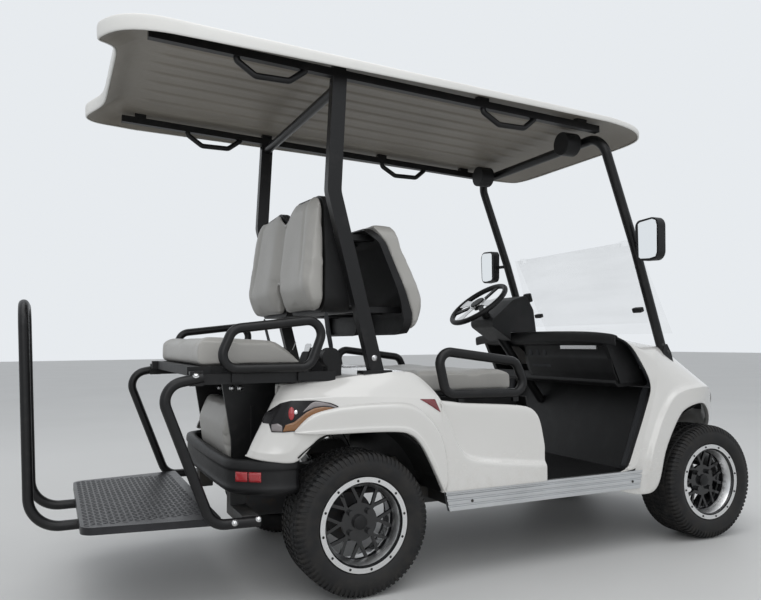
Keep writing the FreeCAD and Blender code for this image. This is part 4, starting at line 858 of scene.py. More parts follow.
def piping(name, node, y, body):
    """A sewn cord over a bench at one place across it, found by looking down on the cushion."""
    find = surface_finder([node + "_cover"])
    low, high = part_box(node)
    points = []
    for i in range(17):
        x = low.x + 0.02 + (high.x - low.x - 0.04) * i / 16
        hit = find(Vector((x, y, high.z + 0.2)), Vector((0, 0, -1)))[0]
        if hit:
            points.append(hit - Vector((0, 0, 0.0005)))
    pipe(name, points, 0.0028, LEATHER, body)


seat_back("rear_back_cushion", -1)
seat_back("front_back_cushion", 1)
for bench in ("rear_seat", "front_seat"):
    seat_cushion(bench + "_cushion", bench)
for mark, spot in (("a", -WELT), ("b", WELT)):
    for bench in ("rear_seat", "front_seat"):
        piping(bench + "_piping_" + mark, bench + "_cushion", spot, bench)

calf = soft_form("calf_pad", 0.006, 0.003)
swollen(calf, 3.0, 0.006)
finish_cushion(calf, "calf_pad", "chassis")


# Upper works, frame and body, from the solids' own forms

for finish, width, segments, nodes in (
        (MOULDED, 0.006, 4, "front_back_shell rear_back_shell"),
        (POWDER_COAT, 0.0025, 3, "hip_rails arm_rails step_tubes grab_bar rear_seat_frame roof_rails"),
        (POWDER_COAT, 0.008, 4, "rear_hoop"),
        (POWDER_COAT, 0.003, 3, "front_hoop"),
        (MOULDED, 0.003, 2, "rear_seat_pan belt_retractors mirrors speakers steering_column front_seat_base"),
        (MOULDED, 0.003, 2, "front_seat_board front_bumper"),
        (LINER, 0.001, 1, "arch_liners"),
        (FRAME_PAINT, 0.003, 2, "chassis_frame"),
        (CAST, 0.002, 2, "front_axle rear_axle springs knuckle_left knuckle_right tie_rod"),
        (BATTERY, 0.006, 3, "battery_pack"),
        (ALUMINIUM, 0.0008, 2, "rocker_strips"),
        (TREAD_PLATE, 0.003, 2, "platform"),
        (SCREEN, 0.001, 2, "windshield"),
        (MOULDED, 0.002, 3, "steering_wheel")):
    for plain_node in nodes.split():
        refined(plain_node, finish, width, segments)


# Body shells: rows of control points from the wheel's lip to the deck, smoothed

def net_piece(name, rows, finish, sharp=(), thick=0.0045, hands=HANDS):
    """A smooth sheet through rows of points, and its twin on the other side; sharp maps a column to its crease."""
    made = []
    for hand in hands:
        form = bmesh.new()
        crease = form.edges.layers.float.new("crease_edge")
        grid = [[form.verts.new(at(x, hand * y, z)) for x, y, z in row] for row in rows]
        sheet(form, grid if hand > 0 else [row[::-1] for row in grid])
        for column, weight in dict(sharp).items():
            for low, high in zip(grid, grid[1:]):
                form.edges.get((low[column], high[column]))[crease] = weight
        bmesh.ops.remove_doubles(form, verts=form.verts, dist=1e-5)
        made.append(own(walled(eased(from_bmesh(handed(name, hand), form), 2), thick, -1.0), finish))
    return made


def spaced(a, b, *shares):
    """Points on the straight line from a to b at the given shares of its length."""
    return [tuple(p + (q - p) * share for p, q in zip(a, b)) for share in shares]


def fender_row(lip, crest, step, shoulder, end, lift=0.0):
    """Control points of one section: a turned-in lip, a proud band, a step down to the side, a shoulder and a top."""
    x, y, z = lip
    band = [(x, y - 24, z), (x, y - 3, z), *spaced(lip, crest, 0.12, 0.55, 0.9), crest, step]
    side = spaced(step, shoulder, 0.35, 0.8)
    top = spaced(shoulder, end, 0.12, 0.5, 0.9)
    top[1] = (top[1][0], top[1][1], top[1][2] + lift)
    return band + side + [shoulder] + top + [end]


# Columns: lip x y z, crest x y z, step x y z, shoulder x y z, end x y z
REAR_FENDER = [
    ((-410, 478, 521), (-400, 484, 544), (-396, 481, 553), (-320, 486, 706), (-278, 462, 764)),
    ((-398, 500, 516), (-390, 507, 541), (-385, 503, 552), (-308, 520, 713), (-262, 470, 768)),
    ((-365, 530, 508), (-360, 538, 536), (-354, 534, 548), (-290, 550, 717), (-246, 480, 771)),
    ((-312, 550, 501), (-308, 559, 530), (-303, 555, 543), (-262, 566, 720), (-225, 490, 774)),
    ((-252, 560, 492), (-262, 570, 540), (-262, 572, 600), (-232, 572, 721), (-190, 496, 778)),
    ((-222, 566, 520), (-228, 576, 600), (-224, 578, 640), (-195, 574, 722), (-150, 500, 781)),
    ((-192, 570, 556), (-196, 582, 640), (-192, 583, 668), (-150, 575, 723), (-105, 505, 783)),
    ((-160, 572, 592), (-150, 585, 664), (-146, 584, 682), (-110, 575, 723), (-70, 510, 786)),
    ((-60, 574, 595), (-60, 586, 668), (-58, 585, 690), (-45, 575, 722), (-15, 516, 793)),
    ((50, 574, 594), (70, 586, 668), (72, 585, 690), (80, 575, 716), (70, 521, 803)),
    ((130, 574, 588), (148, 586, 664), (152, 585, 688), (165, 575, 711), (160, 525, 806)),
    ((190, 574, 580), (212, 586, 648), (220, 586, 672), (240, 576, 705), (234, 527, 804)),
    ((244, 574, 530), (272, 586, 602), (286, 587, 640), (300, 580, 694), (292, 532, 758)),
    ((290, 574, 454), (312, 587, 540), (326, 588, 580), (340, 585, 655), (341, 574, 690)),
    ((316, 576, 405), (332, 588, 470), (340, 588, 500), (344, 588, 560), (344.5, 587, 620)),
    ((333, 578, 364), (340, 588, 400), (343, 588, 420), (344.5, 588, 470), (344.5, 587, 510)),
    ((340, 580, 346), (341, 588, 350), (343, 588, 354), (344.5, 588, 372), (344.5, 587, 390)),
]
# The flare over the arch. Columns: lip x z, crest x z, how far out
REAR_FLARE = [
    (-262, 603, -259, 612, 576), (-242, 600, -238, 634, 590), (-212, 597, -205, 659, 596),
    (-171, 595, -165, 671, 598), (-110, 594, -110, 679, 599), (-48, 594, -45, 684, 599), (74, 592, 80, 685, 599),
    (135, 588, 148, 683, 599), (172, 583, 190, 677, 599), (205, 567, 228, 661, 599), (239, 528, 280, 614, 598),
    (262, 487, 308, 572, 598), (284, 445, 328, 532, 597), (306, 400, 340, 485, 596), (324, 360, 343, 430, 595),
    (331, 345, 344, 380, 594),
]


# Sheets on top of the rear cowl: places (x, z, half width), the section (share of half width, y, rise), creases
REAR_SHEETS = [
    ("rear_deck",
     [(-115, 782, 503), (-70, 786, 509), (-15, 793, 515), (70, 803, 520), (160, 806, 524), (198, 806, 526)],
     [(1, 0, 0), (1, -20, 1.5), (0, 395, 5), (0, 250, 9), (0, 120, 10), (0, 0, 10)], {}),
    ("rear_ledge", [(-278, 764, 461), (-246, 771, 479), (-190, 778, 495), (-114, 782, 503)],
     [(1, 2, 0), (1, -20, 1), (0, 430, 3), (0, 394, 3), (0, 391, -10), (0, 391, -90)], {3: 0.6}),
    ("rear_shoulder", [(197, 805, 526), (235, 803, 527), (292, 758, 532), (341, 690, 560), (344, 640, 570)],
     [(1, 0, 0), (1, -14, 1), (0, 492, -1), (0, 487, -8), (0, 487, -90)], {2: 0.6}),
]
FLARE_SECTION = ((0.0, -30), (-0.02, -6), (0.03, -1), (0.16, 0), (0.22, -3), (0.8, 0.5), (0.96, -0.5), (1.05, -5),
                 (1.12, -16))


def flare_row(lip_x, lip_z, crest_x, crest_z, out):
    """One section of the arch flare: turned in at the lip, a mid line, a crest, and down onto the body."""
    return [(lip_x + (crest_x - lip_x) * share, out + y, lip_z + (crest_z - lip_z) * share)
            for share, y in FLARE_SECTION]


def rear_body():
    """The rear cowl: a side sheet with a flare over the arch, and the deck that joins the sides under the seat."""
    skins = net_piece("rear_fender", [fender_row(*row, lift=4) for row in REAR_FENDER], PEARL,
                      {1: 0.8, 2: 0.5, 9: 0.75, 12: 0.35})
    net_piece("rear_arch_flare", [flare_row(*row) for row in REAR_FLARE], PEARL, {1: 0.6, 3: 0.4, 4: 0.4, 6: 0.5})
    for name, places, section, sharp in REAR_SHEETS:
        net_piece(name, [[(x, half * share + y, z + rise) for share, y, rise in section] for x, z, half in places],
                  PEARL, sharp)
    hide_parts("rear_body")


FRONT_FENDER = [
    ((1228, 556, 262), (1230, 558, 310), (1232, 559, 338), (1244, 574, 350), (1262, 575, 352)),
    ((1331, 560, 233), (1302, 560, 310), (1300, 561, 338), (1292, 574, 352), (1286, 574, 395)),
    ((1362, 560, 234), (1352, 561, 310), (1350, 563, 338), (1322, 574, 380), (1306, 573, 440)),
    ((1410, 584, 238), (1376, 594, 335), (1362, 578, 352), (1344, 574, 420), (1325, 573, 482)),
    ((1443, 592, 300), (1378, 600, 402), (1366, 581, 414), (1366, 574, 500), (1362, 573, 560)),
    ((1462, 592, 388), (1412, 600, 476), (1399, 581, 488), (1402, 573, 580), (1396, 572, 640)),
    ((1490, 592, 452), (1440, 600, 540), (1427, 581, 552), (1432, 573, 660), (1424, 572, 702)),
    ((1522, 592, 506), (1474, 600, 598), (1461, 581, 612), (1452, 573, 716), (1402, 570, 766)),
    ((1556, 592, 556), (1512, 600, 646), (1500, 581, 660), (1452, 572, 770), (1360, 566, 832)),
    ((1574, 592, 578), (1532, 600, 662), (1521, 581, 676), (1450, 570, 812), (1312, 563, 904)),
    ((1592, 592, 596), (1552, 600, 676), (1542, 581, 690), (1450, 568, 842), (1238, 560, 937)),
    ((1640, 592, 616), (1610, 600, 694), (1604, 581, 708), (1470, 545, 884), (1246, 440, 953)),
    ((1700, 586, 626), (1690, 596, 700), (1686, 577, 714), (1540, 500, 892), (1246, 220, 957)),
    ((1760, 560, 622), (1762, 580, 702), (1758, 560, 716), (1620, 450, 880), (1246, 0, 959)),
    ((1835, 508, 600), (1842, 520, 690), (1836, 502, 706), (1720, 392, 846), (1420, 0, 960)),
    ((1930, 440, 556), (1938, 448, 640), (1930, 432, 668), (1830, 340, 796), (1640, 0, 942)),
    ((2010, 370, 500), (2016, 372, 580), (2008, 356, 620), (1930, 290, 745), (1830, 0, 888)),
    ((2066, 305, 450), (2072, 302, 520), (2064, 290, 570), (2020, 240, 680), (1980, 0, 800)),
    ((2100, 240, 410), (2106, 232, 460), (2102, 220, 510), (2075, 180, 620), (2060, 0, 690)),
    ((2112, 130, 395), (2118, 125, 440), (2116, 118, 490), (2100, 90, 580), (2092, 0, 620)),
    ((2114, 0, 392), (2121, 0, 435), (2119, 0, 490), (2106, 0, 560), (2100, 0, 585)),
]


def front_body():
    """The front cowl: fenders, the panel ahead of the doorway and the hood, in one sheet a side to the centre line."""
    skins = net_piece("front_fender", [fender_row(*row, lift=6) for row in FRONT_FENDER], PEARL,
                      {1: 0.8, 2: 0.6, 5: 0.45, 6: 0.55, 9: 0.3})
    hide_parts("front_cowl")


# Columns: x, then heights of the ledge's foot, its crest, and the top; PANEL_FOOT is the lower edge
PANEL_ROWS = [
    (326, 684, 688, 692), (338, 652, 668, 692), (352, 618, 634, 690), (376, 566, 583, 687), (398, 513, 530, 684),
    (418, 482, 499, 680), (448, 457, 473, 677), (520, 441, 457, 672), (640, 427, 443, 664), (720, 418, 434, 656),
    (762, 414, 430, 646), (790, 411, 427, 622), (806, 409, 425, 585), (820, 408, 424, 500),
]
PANEL_FOOT = 344


def side_panels():
    """The panel under each front seat: a raised lower field with a curved ledge, a plain upper one, rounded edges."""
    rows = []
    for x, foot, crest, top in PANEL_ROWS:
        proud = 588 if 345 < x < 800 else 584 if x > 345 else 586
        rows.append([(x, y, z) for y, z in (
            (560, PANEL_FOOT), (proud - 2, PANEL_FOOT), (proud, PANEL_FOOT + 6), (proud, foot - 24),
            (proud + 1, foot - 5), (proud - 2, foot + 2), (571, crest), (569, crest + 7), (570, (crest + top) / 2),
            (571, top - 14), (567, top - 3), (560, top), (548, top))])
    last = rows[-1]
    rows.append([(x + 5, y - 5, z) for x, y, z in last])
    rows.append([(x + 5, 550, z) for x, y, z in last])
    skins = net_piece("door_sill_panel", rows, PEARL, {1: 0.8, 5: 0.5, 6: 0.3}, thick=0.004)
    for hand, skin in zip(HANDS, skins):
        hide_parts(handed("side_panel", hand))


# The solid's straight door trims end here, with this lean, where the hood's curved edge takes over
TRIM_END, TRIM_LEAN = 0.714, 0.843


def floor_tray():
    """The tray with the upper ends of its door trims drawn down below the hood."""
    form = merged_copy("floor_pan")
    tops = [(v.co.x, v.co.z) for v in form.verts if abs(v.co.y) > 0.56 and v.co.z > TRIM_END]
    for v in form.verts:
        if any(abs(v.co.x - x) + abs(v.co.z - z) < 0.002 for x, z in tops):
            v.co.x += TRIM_LEAN * (v.co.z - TRIM_END)
            v.co.z = TRIM_END
    refined("floor_pan", MOULDED, 0.003, 2, form)


# The dash top's rear edge from the doorway to the middle: y, z
DASH_EDGE = [(567, 938), (548, 944), (495, 950), (400, 956), (250, 960), (110, 962), (0, 962)]
# The dash's face from its top edge down to the knees: x, z
DASH_FACE = [(1236, 915), (1252, 905), (1262, 880), (1268, 850), (1264, 838), (1272, 800), (1280, 772), (1292, 752),
             (1300, 735)]
# The rolled top edge: x, height, and how much of the drop a shorter reach adds
DASH_ROLL = [(16, 1, 3), (32, -1, 12), (46, -8, 16)]
# The doorway's front edge, from the dash down to the sill: x, z
DOOR_EDGE = [(1222, 938), (1262, 926), (1310, 903), (1354, 840), (1396, 776), (1430, 722), (1434, 704), (1420, 662),
             (1392, 590), (1356, 500), (1318, 410), (1290, 350)]
# Name, place, width, height, how far it stands out, its rounding
DASH_PARTS = [("silver_strip", 1266, -280, 896, 255, 36, BRIGHT, 18, 0.0012)]
DASH_PARTS += [("switch_" + mark, 1270, y, 862, 26, 36, TRIM, 12, 0.003) for mark, y in zip("abc", (104, 46, -12))]
DASH_PARTS += [("slot", 1276, 26, 800, 150, 28, TRIM, 8, 0.0012)]


def dash():
    """The dash with its top lowered to the hood, a rolled top edge, switches, vents and the doorway's inner trim."""
    form = merged_copy("dashboard")
    for v in form.verts:
        x, z = (v.co.x - REAR_AXLE) * 1000, v.co.z * 1000
        if z > 880:
            v.co.z -= (z - 880) / 86 * (24 + max(0.0, x - 1235) * 0.22) / 1000
    refined("dashboard", MOULDED, 0.003, 2, form)
    roll = []
    for y, z in DASH_EDGE + [(-y, z) for y, z in reversed(DASH_EDGE[:-1])]:
        reach = 1.0 if abs(y) < 450 else 0.35
        roll.append([(1222, y, z - 46), (1219, y, z - 22), (1218, y, z - 8), (1218 + 5 * reach, y, z - 1)]
                    + [(1218 + x * reach, y, z + rise - drop * (1 - reach)) for x, rise, drop in DASH_ROLL])
    net_piece("dash_top_roll", roll, MOULDED, hands=(1,))
    net_piece("dash_front", [[(x, y, z) for x, z in DASH_FACE] for y in (-492, -480, -300, -120, 60, 150)], MOULDED,
              {1: 0.5, 4: 0.6}, hands=(1,))
    trim = []
    for x, z in DOOR_EDGE:
        inner = 0 if z < 710 else 1
        trim.append([(x - 2, 562 - max(0, 500 - z) * 0.05, z), (x - 1, 556, z), (x + 1, 545, z - 1),
                     (x + 6, (498, 547)[inner], z - 3), (x + 14, (488, 543)[inner], z - 3)])
    net_piece("doorway_trim", trim, TRIM, {1: 0.4, 3: 0.7})
    facing_back = Matrix(((0, 0, -1), (1, 0, 0), (0, 1, 0))).to_4x4()
    for name, x, y, z, width, height, finish, proud, bevel in DASH_PARTS:
        plate("dash_" + name, [(a * width / 2000, b * height / 2000) for a, b in ((-1, -1), (1, -1), (1, 1), (-1, 1))],
              proud / 1000, finish, Matrix.Translation(at(x, y, z)) @ facing_back, bevel=bevel)


rear_body()
front_body()
side_panels()
floor_tray()
dash()


# Lamps, bumper and roof

def between(table, x):
    """Straight-line reading of a table of (x, value)."""
    for (x0, v0), (x1, v1) in zip(table, table[1:]):
        if x <= x1:
            return v0 + (v1 - v0) * (x - x0) / (x1 - x0)
    return table[-1][1]


def seen_from(eye, place):
    """A way of laying a pattern on a skin: as seen from a point, drawn on a plane that place(u, v) gives."""
    return lambda u, v: (eye, (place(u, v) - eye).normalized())


STRAY_DEPTH = 0.2  # a ray that lands further off than this from the usual depth missed the skin
SIDE_VIEW = seen_from(PHOTO_EYE, lambda u, v: at(u, -570, v))
FRONT_VIEW = seen_from(at(3300, -1500, 800), lambda u, v: at(1960, -u, v))


def skin_patch(name, low, high, find, finish, lift, thick, stations, columns, crown, aim=SIDE_VIEW,
               out=(-0.2, -0.98, 0.0)):
    """A lens laid on the right body side, and its twin: lower and upper edges are tables of (u, v) in a view."""
    first, last = low[0][0], low[-1][0]
    out = Vector(out)
    rays, depth = {}, {}
    for i in range(stations + 1):
        u = first + (last - first) * i / stations
        foot, head = between(low, u), between(high, u)
        for k in range(columns):
            eye, look = rays[i, k] = aim(u, foot + (head - foot) * k / (columns - 1))
            hit = find(eye, look)[0]
            if hit is not None:
                depth[i, k] = (hit - eye).length
    usual = sorted(depth.values())[len(depth) // 2]
    depth = {key: value for key, value in depth.items() if abs(value - usual) < STRAY_DEPTH}
    made = []
    for hand in reversed(HANDS):
        form = bmesh.new()
        face, back = [], []
        for i in range(stations + 1):
            face.append([])
            back.append([])
            for k in range(columns):
                near = min(depth, key=lambda spot: (spot[0] - i) ** 2 + (spot[1] - k) ** 2)
                hit = rays[i, k][0] + rays[i, k][1] * depth[near]
                bulge = crown * math.sin(math.pi * k / (columns - 1)) * math.sin(math.pi * i / stations)
                for row, height in ((face, lift + bulge), (back, lift - thick)):
                    spot = hit + out * height / 1000
                    row[-1].append(form.verts.new((spot.x, -hand * spot.y, spot.z)))
        made.append(own(from_bmesh(handed(name, hand), padded_form(form, face, back)), finish))
    return made


# Edges of the lenses, as tables of (u, v) in the view that lays them on
LAMP_TOP = [(-378, 653), (-364, 680), (-334, 697), (-311, 710), (-273, 717), (-182, 714), (-124, 703), (-100, 693),
            (-76, 675)]
LAMP_LOW = [(-378, 652), (-374, 645), (-351, 641), (-345, 612), (-300, 608), (-256, 609), (-234, 629), (-222, 641),
            (-205, 653), (-182, 662), (-160, 669), (-106, 672), (-76, 674)]
AMBER_TOP = [(-302, 612), (-292, 633), (-262, 641), (-240, 656), (-215, 674), (-185, 687), (-150, 690), (-125, 687),
             (-100, 680)]
AMBER_LOW = [(-302, 611), (-258, 611), (-236, 630), (-224, 642), (-207, 654), (-184, 663), (-162, 670), (-125, 674),
             (-100, 676)]
CLEAR_TOP = [(-343, 638), (-320, 640), (-304, 630)]
CLEAR_LOW = [(-343, 615), (-320, 612), (-304, 611)]
GREY_TOP = [(-228, 676), (-212, 692), (-196, 706), (-182, 711), (-150, 706), (-124, 699), (-102, 689), (-88, 680)]
GREY_LOW = [(-228, 674), (-215, 680), (-185, 690), (-150, 693), (-125, 690), (-100, 683), (-88, 679)]
HEAD_TOP = [(318, 640), (330, 662), (360, 680), (410, 694), (470, 704), (530, 710), (575, 712)]
HEAD_LOW = [(318, 638), (334, 618), (370, 606), (420, 606), (465, 626), (520, 668), (575, 710)]
MARKER_TOP = [(241, 702), (260, 701), (305, 699), (314, 680), (328, 650)]
MARKER_LOW = [(241, 700), (262, 689), (290, 672), (314, 656), (328, 648)]


def ellipse(x, z, width, height, count=20):
    """Lower and upper edges of an ellipse, as tables for a lens."""
    places = [x - width * math.cos(math.pi * i / count) for i in range(count + 1)]
    rise = [height * math.sin(math.pi * i / count) + 0.05 for i in range(count + 1)]
    return [(a, z - b) for a, b in zip(places, rise)], [(a, z + b) for a, b in zip(places, rise)]


TAIL_LENSES = [
    # name, lower and upper edges, finish, lift, thickness, stations, columns, crown
    ("tail_amber", AMBER_LOW, AMBER_TOP, AMBER_LENS, 0.8, 2.0, 40, 5, 0.8),
    ("tail_clear", CLEAR_LOW, CLEAR_TOP, CLEAR_LENS, 0.8, 2.0, 12, 5, 0.5),
    ("tail_grey", GREY_LOW, GREY_TOP, CLEAR_LENS, 0.5, 1.5, 24, 4, 0.3),
    ("tail_red", *ellipse(-271, 672, 11, 23), RED_LENS, 1.5, 2.6, 20, 9, 4.0),
    ("tail_white", *ellipse(-255, 676, 6.5, 8), CHROME, 3.0, 3.5, 12, 5, 1.2),
]
HEAD_LENSES = [
    ("head_bowl_a", *ellipse(368, 645, 22, 22), CHROME, 1.2, 2.2, 20, 9, 1.5),
    ("head_bowl_b", *ellipse(424, 655, 19, 19), CHROME, 1.2, 2.2, 20, 9, 1.5),
    ("head_strip", [(462, 652), (480, 658), (510, 678), (545, 700)], [(462, 684), (480, 690), (510, 698), (545, 704)],
     CLEAR_LENS, 0.8, 2.0, 24, 4, 0.5),
]
FORWARD = (0.8, -0.6, 0.0)


def lamps():
    """The swept lamps at the four corners, smoked, with their inner lenses, and the marker on each side."""
    on_skin = surface_finder(["rear_fender_right"])
    housing = skin_patch("tail_lamp", LAMP_LOW, LAMP_TOP, on_skin, SMOKED, 2.5, 9.0, 60, 9, 3.0)
    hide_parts("tail_lamps")
    on_lamp = surface_finder(["tail_lamp_right"])
    for lamp in housing:
        edged(lamp, 0.002, 2, 40)
    for name, low, high, *rest in TAIL_LENSES:
        skin_patch(name, low, high, on_lamp, *rest)
    on_side = surface_finder(["rear_fender_right", "door_sill_panel_right"])
    skin_patch("side_marker", MARKER_LOW, MARKER_TOP, on_side, REFLECTOR, 1.5, 4.0, 24, 5, 0.5)
    on_nose = surface_finder(["front_fender_right"])
    housing = skin_patch("head_lamp", HEAD_LOW, HEAD_TOP, on_nose, SMOKED, 1.0, 8.0, 40, 9, 2.0, FRONT_VIEW, FORWARD)
    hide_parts("headlamps")
    on_lamp = surface_finder(["head_lamp_right"])
    for name, low, high, *rest in HEAD_LENSES:
        skin_patch(name, low, high, on_lamp, *rest, FRONT_VIEW, FORWARD)


# Across one section of the bumper: how far in from the solid's outline, and the height
BUMPER_SECTION = [(46, 494), (24, 506), (8, 508), (1, 500), (0, 482), (0, 476), (5, 472), (6, 466), (6, 440), (6, 416),
                  (1, 410), (1, 402), (10, 388), (40, 380), (52, 384)]
# The bumper's outline from above, on the right side
BUMPER_PLAN = [(-232, 545), (-262, 549), (-300, 545), (-348, 530), (-375, 512), (-410, 484), (-445, 455), (-462, 430),
               (-469, 380), (-473, 300), (-476, 180), (-476, 60)]
END_TUCK = 5.4  # how much further in the bumper's two ends lie
# The two parts of the reflector on each corner, as shares of its length
REFLECTOR_PARTS = (("a", 0.0, 0.47), ("b", 0.53, 1.0))


def rear_bumper():
    """The wrapped rear bumper: a rounded top, a pressed line along it and a tucked lower edge."""
    line = BUMPER_PLAN + [(x, -y) for x, y in reversed(BUMPER_PLAN)]
    form = bmesh.new()
    grid = []
    for i, (x, y) in enumerate(line):
        before, after = line[max(0, i - 1)], line[min(len(line) - 1, i + 1)]
        along = Vector((after[0] - before[0], after[1] - before[1])).normalized()
        inward = Vector((-along.y, along.x))
        if inward.x * x + inward.y * y > 0:
            inward = -inward
        tuck = END_TUCK if i in (0, len(line) - 1) else 0
        grid.append([form.verts.new(at(x + inward.x * (depth + tuck), y + inward.y * (depth + tuck), z))
                     for depth, z in BUMPER_SECTION])
    sheet(form, grid)
    bar = own(walled(eased(from_bmesh("rear_bumper_skin", outward(form)), 1), 0.004, 0.0), MOULDED)
    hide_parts("rear_bumper")
    find = surface_finder(["rear_bumper_skin"])
    for hand in HANDS:
        out = Vector((-0.62, hand * 0.78, 0))
        for mark, start, end in REFLECTOR_PARTS:
            form = bmesh.new()
            face, back = [], []
            for i in range(9):
                share = start + (end - start) * i / 8
                spots = [at(-384 - 62 * share, hand * (540 - 78 * share), 432 + 34 * k / 4) for k in range(5)]
                hits = [find(spot + out * 0.1, -out)[0] or spot for spot in spots]
                face.append([form.verts.new(hit + out * (0.003 + 0.0015 * math.sin(math.pi * k / 4)))
                             for k, hit in enumerate(hits)])
                back.append([form.verts.new(hit - out * 0.003) for hit in hits])
            # The reflectors take the red lens, and with it its painted glow.
            own(from_bmesh(handed("rear_reflector_" + mark, hand), padded_form(form, face, back)), RED_LENS)


# Roof: for each place across, the stations of its rear and front ends
ROOF_ACROSS = [(0, -845, 1490), (110, -845, 1489), (220, -846, 1487), (300, -848, 1485), (345, -858, 1482),
               (385, -880, 1479), (415, -902, 1476), (440, -915, 1472), (465, -917, 1467), (495, -905, 1458),
               (530, -882, 1430), (560, -846, 1380), (582, -780, 1290), (594, -700, 1190)]
ROOF_SHARES = (0.0, 0.012, 0.035, 0.08, 0.16, 0.3, 0.45, 0.6, 0.75, 0.87, 0.94, 0.975, 0.992, 1.0)


def smooth_step(share):
    return held(share) ** 2 * (3 - 2 * held(share))


def roof_height(x, y):
    """The roof's top: falling forward, crowned across, drooping at both ends."""
    flat = 1 - 0.6 * smooth_step((x - 1150) / 340)
    rear = max(0.0, -760 - x) / 160
    front = max(0.0, x - 1330) / 150
    return 2006 - (x + 743) * 0.0505 + 42 * (1 - (y / 620) ** 2) * flat - 30 * rear ** 2 - 24 * front ** 2


def rim_depth(x):
    """How far the edge hangs down: deep at the rear, thin at the front."""
    return 24 + 32 * held((1200 - x) / 2000) ** 1.5


def roof_line(y):
    """Stations of the roof's rear and front ends at a place across."""
    return [between([(row[0], row[column]) for row in ROOF_ACROSS], abs(y)) for column in (1, 2)]


# Round the roof's edge: how far out, and what share of the rim's depth down
ROOF_ROLL = [(1.5, 0.04), (3.2, 0.14), (3.8, 0.4), (3.0, 0.8), (1.5, 0.97), (-1.0, 1.0), (-5, 0.98)]
# The lining's ribs: their spacing, and how far to the side and what share of the height
RIB_PITCH = 107.5
RIB_SECTION = ((-24, 0.0), (-21, 0.06), (-14, 0.94), (-10, 1.0), (10, 1.0), (14, 0.94), (21, 0.06), (24, 0.0))


def lining_point(x, y, rib):
    """A point of the lining: hung at the rim, sloping up to a ribbed field."""
    rear, front = roof_line(y)
    rise = min(smooth_step((x - rear) / 105), smooth_step((front - x) / 150), smooth_step((595 - abs(y)) / 55))
    drop = (rim_depth(x) - 3) * (1 - rise) + 12 * rise
    field = smooth_step((x + 715) / 60) * smooth_step((1250 - x) / 60)
    return at(x, y, roof_height(x, y) - drop - 6 * rib * field)


def roof():
    """The roof skin with a thin hanging rim and a point at each rear corner, over a ribbed lining."""
    across = [(-y, rear, front) for y, rear, front in reversed(ROOF_ACROSS[1:])] + ROOF_ACROSS
    form = bmesh.new()
    grid = [[form.verts.new(at(rear + (front - rear) * share, y, roof_height(rear + (front - rear) * share, y)))
             for share in ROOF_SHARES] for y, rear, front in across]
    sheet(form, grid)
    loop = [row[0] for row in grid] + grid[-1][1:] + [row[-1] for row in reversed(grid[:-1])] + grid[0][-2:0:-1]
    places = [v.co.copy() for v in loop]
    count = len(loop)
    last = loop
    for out, down in ROOF_ROLL:
        ring = []
        for i, place in enumerate(places):
            along = places[(i + 1) % count] - places[i - 1]
            away = Vector((-along.y, along.x, 0)).normalized()
            if away.dot(place - at(330, 0, 2000)) < 0:
                away = -away
            depth = rim_depth((place.x - REAR_AXLE) * 1000)
            ring.append(form.verts.new(place + away * out / 1000 - Vector((0, 0, down * depth / 1000))))
        sheet(form, [last, ring], closed=True)
        last = ring
    skin = own(walled(eased(from_bmesh("roof_skin", outward(form)), 1), 0.003, -1.0), ROOF_WHITE)
    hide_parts("roof_shell")
    columns = [(y, 0.0) for y in (-590, -586, -578, -566, -553, -540, -525, -500, -475)]
    for i in range(9):
        columns += [((i - 4) * RIB_PITCH + side, rib) for side, rib in RIB_SECTION]
    columns += [(-y, 0.0) for y, rib in reversed(columns[:9])]
    form = bmesh.new()
    grid = []
    for y, rib in columns:
        rear, front = roof_line(y)
        rear, front = rear + 3, front - 3
        stations = [rear + d for d in (0, 8, 22, 40, 62, 85, 108, 130, 160, 200)]
        stations += [rear + 200 + (front - rear - 480) * k / 8 for k in range(1, 8)]
        stations += [front - d for d in (280, 240, 200, 165, 135, 105, 78, 52, 28, 10, 0)]
        grid.append([form.verts.new(lining_point(x, y, rib)) for x in stations])
    sheet(form, grid)
    own(walled(from_bmesh("roof_lining_sheet", outward(form)), 0.002, 0.0), ROOF_LINING)
    copies("roof_bolts", bolt_seed(0.008, 0.012, 6, 1.7),
           [(at(x, y, roof_height(x, y) - 0.5), Euler((0, 0, 0))) for x in (-640, 210, 1090) for y in (-505, 505)],
           TRIM)


# Small parts. Pixels of the photograph give their places; each sits on the surface that is seen there.
FOCAL_PIXELS = 711.0
PICTURE_MIDDLE = (380.5, 300.0)
FRAME_STUDS = ((196, 375.6), (220, 388), (232, 388), (240, 388), (281, 386), (289, 386), (203.8, 478), (217, 489.5),
               (235, 523), (258.7, 519), (374.5, 358), (281.2, 504.8))
RAIL_STUDS = ((331, 83), (324, 92), (598, 136), (591, 146), (663, 345), (668, 352))
SILL_STUDS = ((472.4, 500.7), (632.7, 481.5))
SCREEN_CLIPS = (("a", 528, 298, 50, 52), ("b", 539, 316, 52, 22), ("d", 638, 310, 56, 24))  # pixel, width, height


def looked_at(find, px, py):
    """Where the photograph's pixel meets the pieces, and the surface's direction there."""
    view = bpy.context.scene.camera.matrix_world
    ray = view.to_3x3() @ Vector(((px - PICTURE_MIDDLE[0]) / FOCAL_PIXELS, (PICTURE_MIDDLE[1] - py) / FOCAL_PIXELS, -1))
    spot, normal = find(view.translation, ray.normalized())
    if spot and normal.dot(ray) > 0:
        normal = -normal
    return spot, normal


def studded(name, pixels, carriers, seed, finish):
    """Bolt heads where the photograph shows them, and the same on the other side."""
    find = surface_finder(carriers)
    places = []
    for px, py in pixels:
        spot, normal = looked_at(find, px, py)
        if spot is not None:
            for hand in HANDS:
                turn = Vector((normal.x, normal.y * hand, normal.z)).to_track_quat("Z", "Y").to_euler()
                places.append((Vector((spot.x, spot.y * hand, spot.z)), turn))
    copies(name, seed, places, finish)


